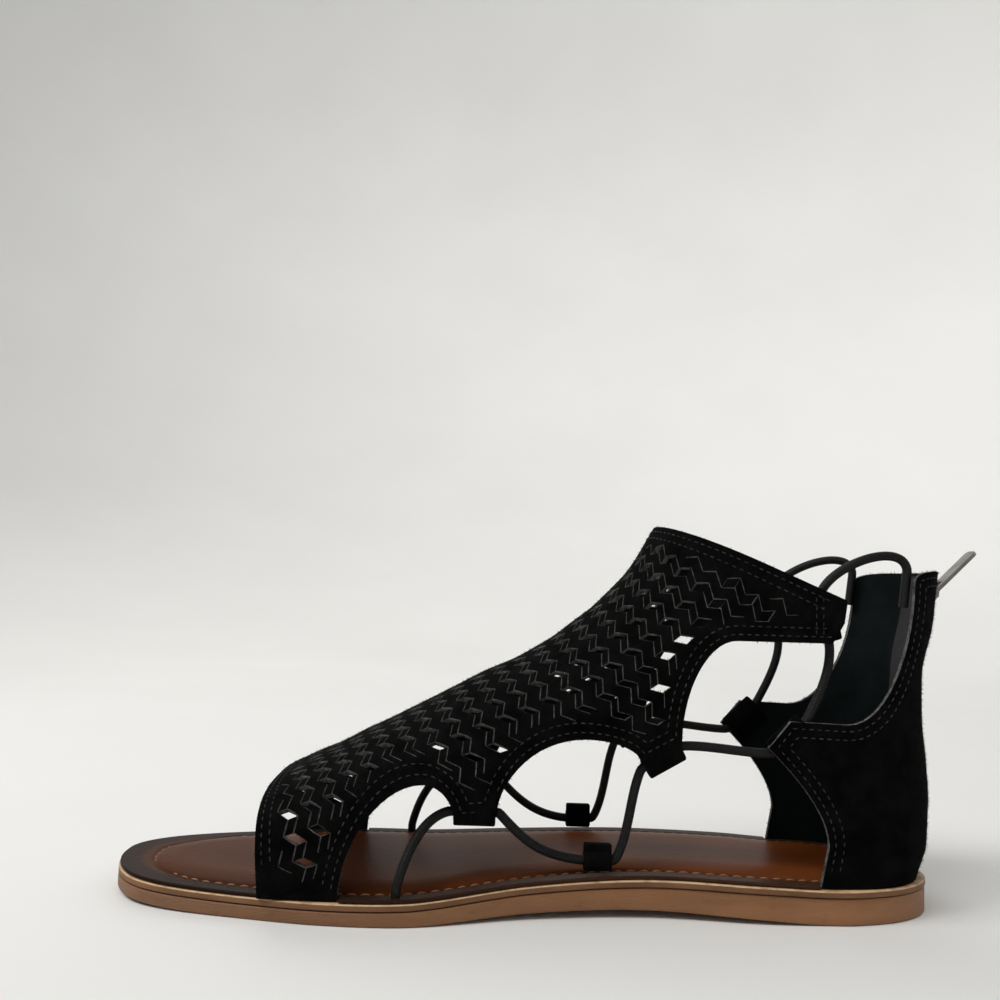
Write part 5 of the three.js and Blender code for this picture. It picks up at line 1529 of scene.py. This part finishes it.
shield_stitches = sew("shield_stitches", shield_seams(), thread_black, *UPPER_THREAD, "suede")
counter_stitches = sew("counter_stitches", counter_seams(), thread_black, *UPPER_THREAD, "suede")

# %% [markdown]
# ## Nap
# Loose fibres stand off the suede and soften its outline against the light. Each is a thin spike of four
# faces, rooted at a random spot of the finished leather, so none hangs over a window.

# %% Fibres
FIBRE_LENGTH, FIBRE_HALF, FIBRE_SPREAD = 1.0, 0.08, 0.75
# How thickly fibres stand on the outer face, on the lining and on a cut edge.
FIBRE_WEIGHTS = (1.0, 0.0, 2.0)


def sample_faces(mesh, total, kinds):
    """Random spots and face directions, each face drawn as often as its area and its finish's weight say."""
    mesh.calc_loop_triangles()
    size = len(mesh.loop_triangles)
    corners, finish_of = np.empty(3 * size, np.int32), np.empty(size, np.int32)
    mesh.loop_triangles.foreach_get("vertices", corners)
    mesh.loop_triangles.foreach_get("material_index", finish_of)
    places = np.empty(3 * len(mesh.vertices), np.float32)
    mesh.vertices.foreach_get("co", places)
    a, b, c = places.reshape(-1, 3)[corners.reshape(-1, 3)].swapaxes(0, 1) * 1000.0
    normal = np.cross(b - a, c - a)
    weight = np.linalg.norm(normal, axis=1) * np.array(kinds)[finish_of]
    picked = rng.choice(size, total, p=weight / weight.sum())
    u, v = rng.uniform(0, 1, (2, total, 1))
    u, v = np.where(u + v > 1, 1 - u, u), np.where(u + v > 1, 1 - v, v)
    spots = a[picked] + u * (b - a)[picked] + v * (c - a)[picked]
    return spots + (HEEL_SEAT, 0, 0), unit(normal[picked])


def make_nap(name, piece, total):
    """Spikes: three corners round the root and one tip, leaning any way off the face."""
    spots, out = sample_faces(piece.data, total, FIBRE_WEIGHTS)
    lean = unit(out + rng.normal(0, FIBRE_SPREAD, out.shape))
    lean = np.where((lean * out).sum(1, keepdims=True) < 0.15, out, lean)
    first = unit(np.cross(lean, rng.normal(0, 1, out.shape)))
    second = np.cross(lean, first)
    turn = 2 * np.pi * np.arange(3)[None, :, None] / 3
    root = FIBRE_HALF * (first[:, None] * np.cos(turn) + second[:, None] * np.sin(turn))
    length = FIBRE_LENGTH * rng.uniform(0.35, 1, (total, 1))
    points = np.concatenate([(spots - 0.05 * out)[:, None] + root, (spots + lean * length)[:, None]], 1)
    spike = np.array([[0, 2, 1], [0, 1, 3], [1, 2, 3], [2, 0, 3]])
    nap = make_piece(name, points, many(spike, 4, total), [suede])
    print(name + ":", total, "fibres,", count(nap), "triangles")
    return nap


shield_nap = make_nap("shield_nap", shield, 12000)
counter_nap = make_nap("counter_nap", counter, 9000)

# %% [markdown]
# ## Floor and light
# A pale floor that curves up all round hides its own edge from every side. A sun as wide as a window shines
# from high up on the toe side, a small key light beside it puts the gloss on the insole, a weak one behind
# brightens the floor there, and an even pale sky keeps the shadows open. The plain view transform is used,
# because a filmic one lifts near blacks and would turn the suede grey.

# %% Floor
FLOOR_RADIUS, FLOOR_RISE, FLOOR_RIM, FLOOR_SIDES = 0.9, 1.6, 1.0, 96


def make_floor():
    """A dish: flat to a radius, then a quarter round and an upright rim."""
    turn = np.linspace(0, np.pi / 2, 24)[1:]
    flat = np.linspace(0.001, FLOOR_RADIUS, 12)
    curve = FLOOR_RADIUS + FLOOR_RISE * np.sin(turn)
    radii = np.concatenate([flat, curve, [FLOOR_RADIUS + FLOOR_RISE]])[:, None]
    heights = np.concatenate([0 * flat, FLOOR_RISE * (1 - np.cos(turn)), [FLOOR_RISE + FLOOR_RIM]])
    around = 2 * np.pi * np.arange(FLOOR_SIDES) / FLOOR_SIDES
    z = np.repeat(heights[:, None], FLOOR_SIDES, 1)
    points = np.stack([0.1 + radii * np.cos(around), radii * np.sin(around), z], -1) * 1000
    points = points + (HEEL_SEAT, 0, 0)
    faces = [net(len(radii), FLOOR_SIDES, wrap_cols=True), np.arange(FLOOR_SIDES)[None]]
    material, tree, shader = finish("floor_paper", 0.8, Specular_IOR_Level=0.2)
    shade = ramp(tree, noise(tree, place(tree), 3.0), [(0.3, (0.77, 0.77, 0.76)), (0.7, (0.80, 0.80, 0.79))])
    tree.links.new(shade, shader.inputs["Base Color"])
    floor = make_piece("floor", points, faces, [material], body=None, closed=False)
    return floor


def add_light(name, kind, spot, aim, size, power, colour):
    """A light at a spot, facing an aim: AREA with a side of size metres, or SUN as wide as size radians."""
    data = bpy.data.lights.new(name, kind)
    setattr(data, "size" if kind == "AREA" else "angle", size)
    data.energy, data.color = power, colour
    light = bpy.data.objects.new(name, data)
    back = unit(np.array(spot, float) - np.array(aim, float))
    right = unit(np.cross([0, 0, 1], back))
    pose = np.eye(4)
    pose[:3, :3] = np.stack([right, np.cross(back, right), back], 1)
    pose[:3, 3] = spot
    light.matrix_world = Matrix(pose.tolist())
    bpy.context.scene.collection.objects.link(light)


floor = make_floor()
AIM = (0.1, 0, 0.05)
add_light("window", "SUN", (0.45, 0.62, 0.8), (0, 0, 0), 0.7, 1.85, (1.0, 0.99, 0.97))
add_light("key", "AREA", (0.80, 0.30, 0.85), AIM, 0.5, 5.5, (1.0, 0.99, 0.98))
add_light("back", "AREA", (0.5, -0.8, 0.9), (0.2, -0.3, 0), 0.9, 2.5, (1.0, 0.98, 0.94))
bpy.context.scene.view_settings.view_transform = "Standard"
world = bpy.data.worlds.new("studio")
bpy.context.scene.world = world
world.use_nodes = True
sky = world.node_tree.nodes["Background"].inputs
sky["Color"].default_value = (1.0, 0.995, 0.98, 1)
sky["Strength"].default_value = 0.34
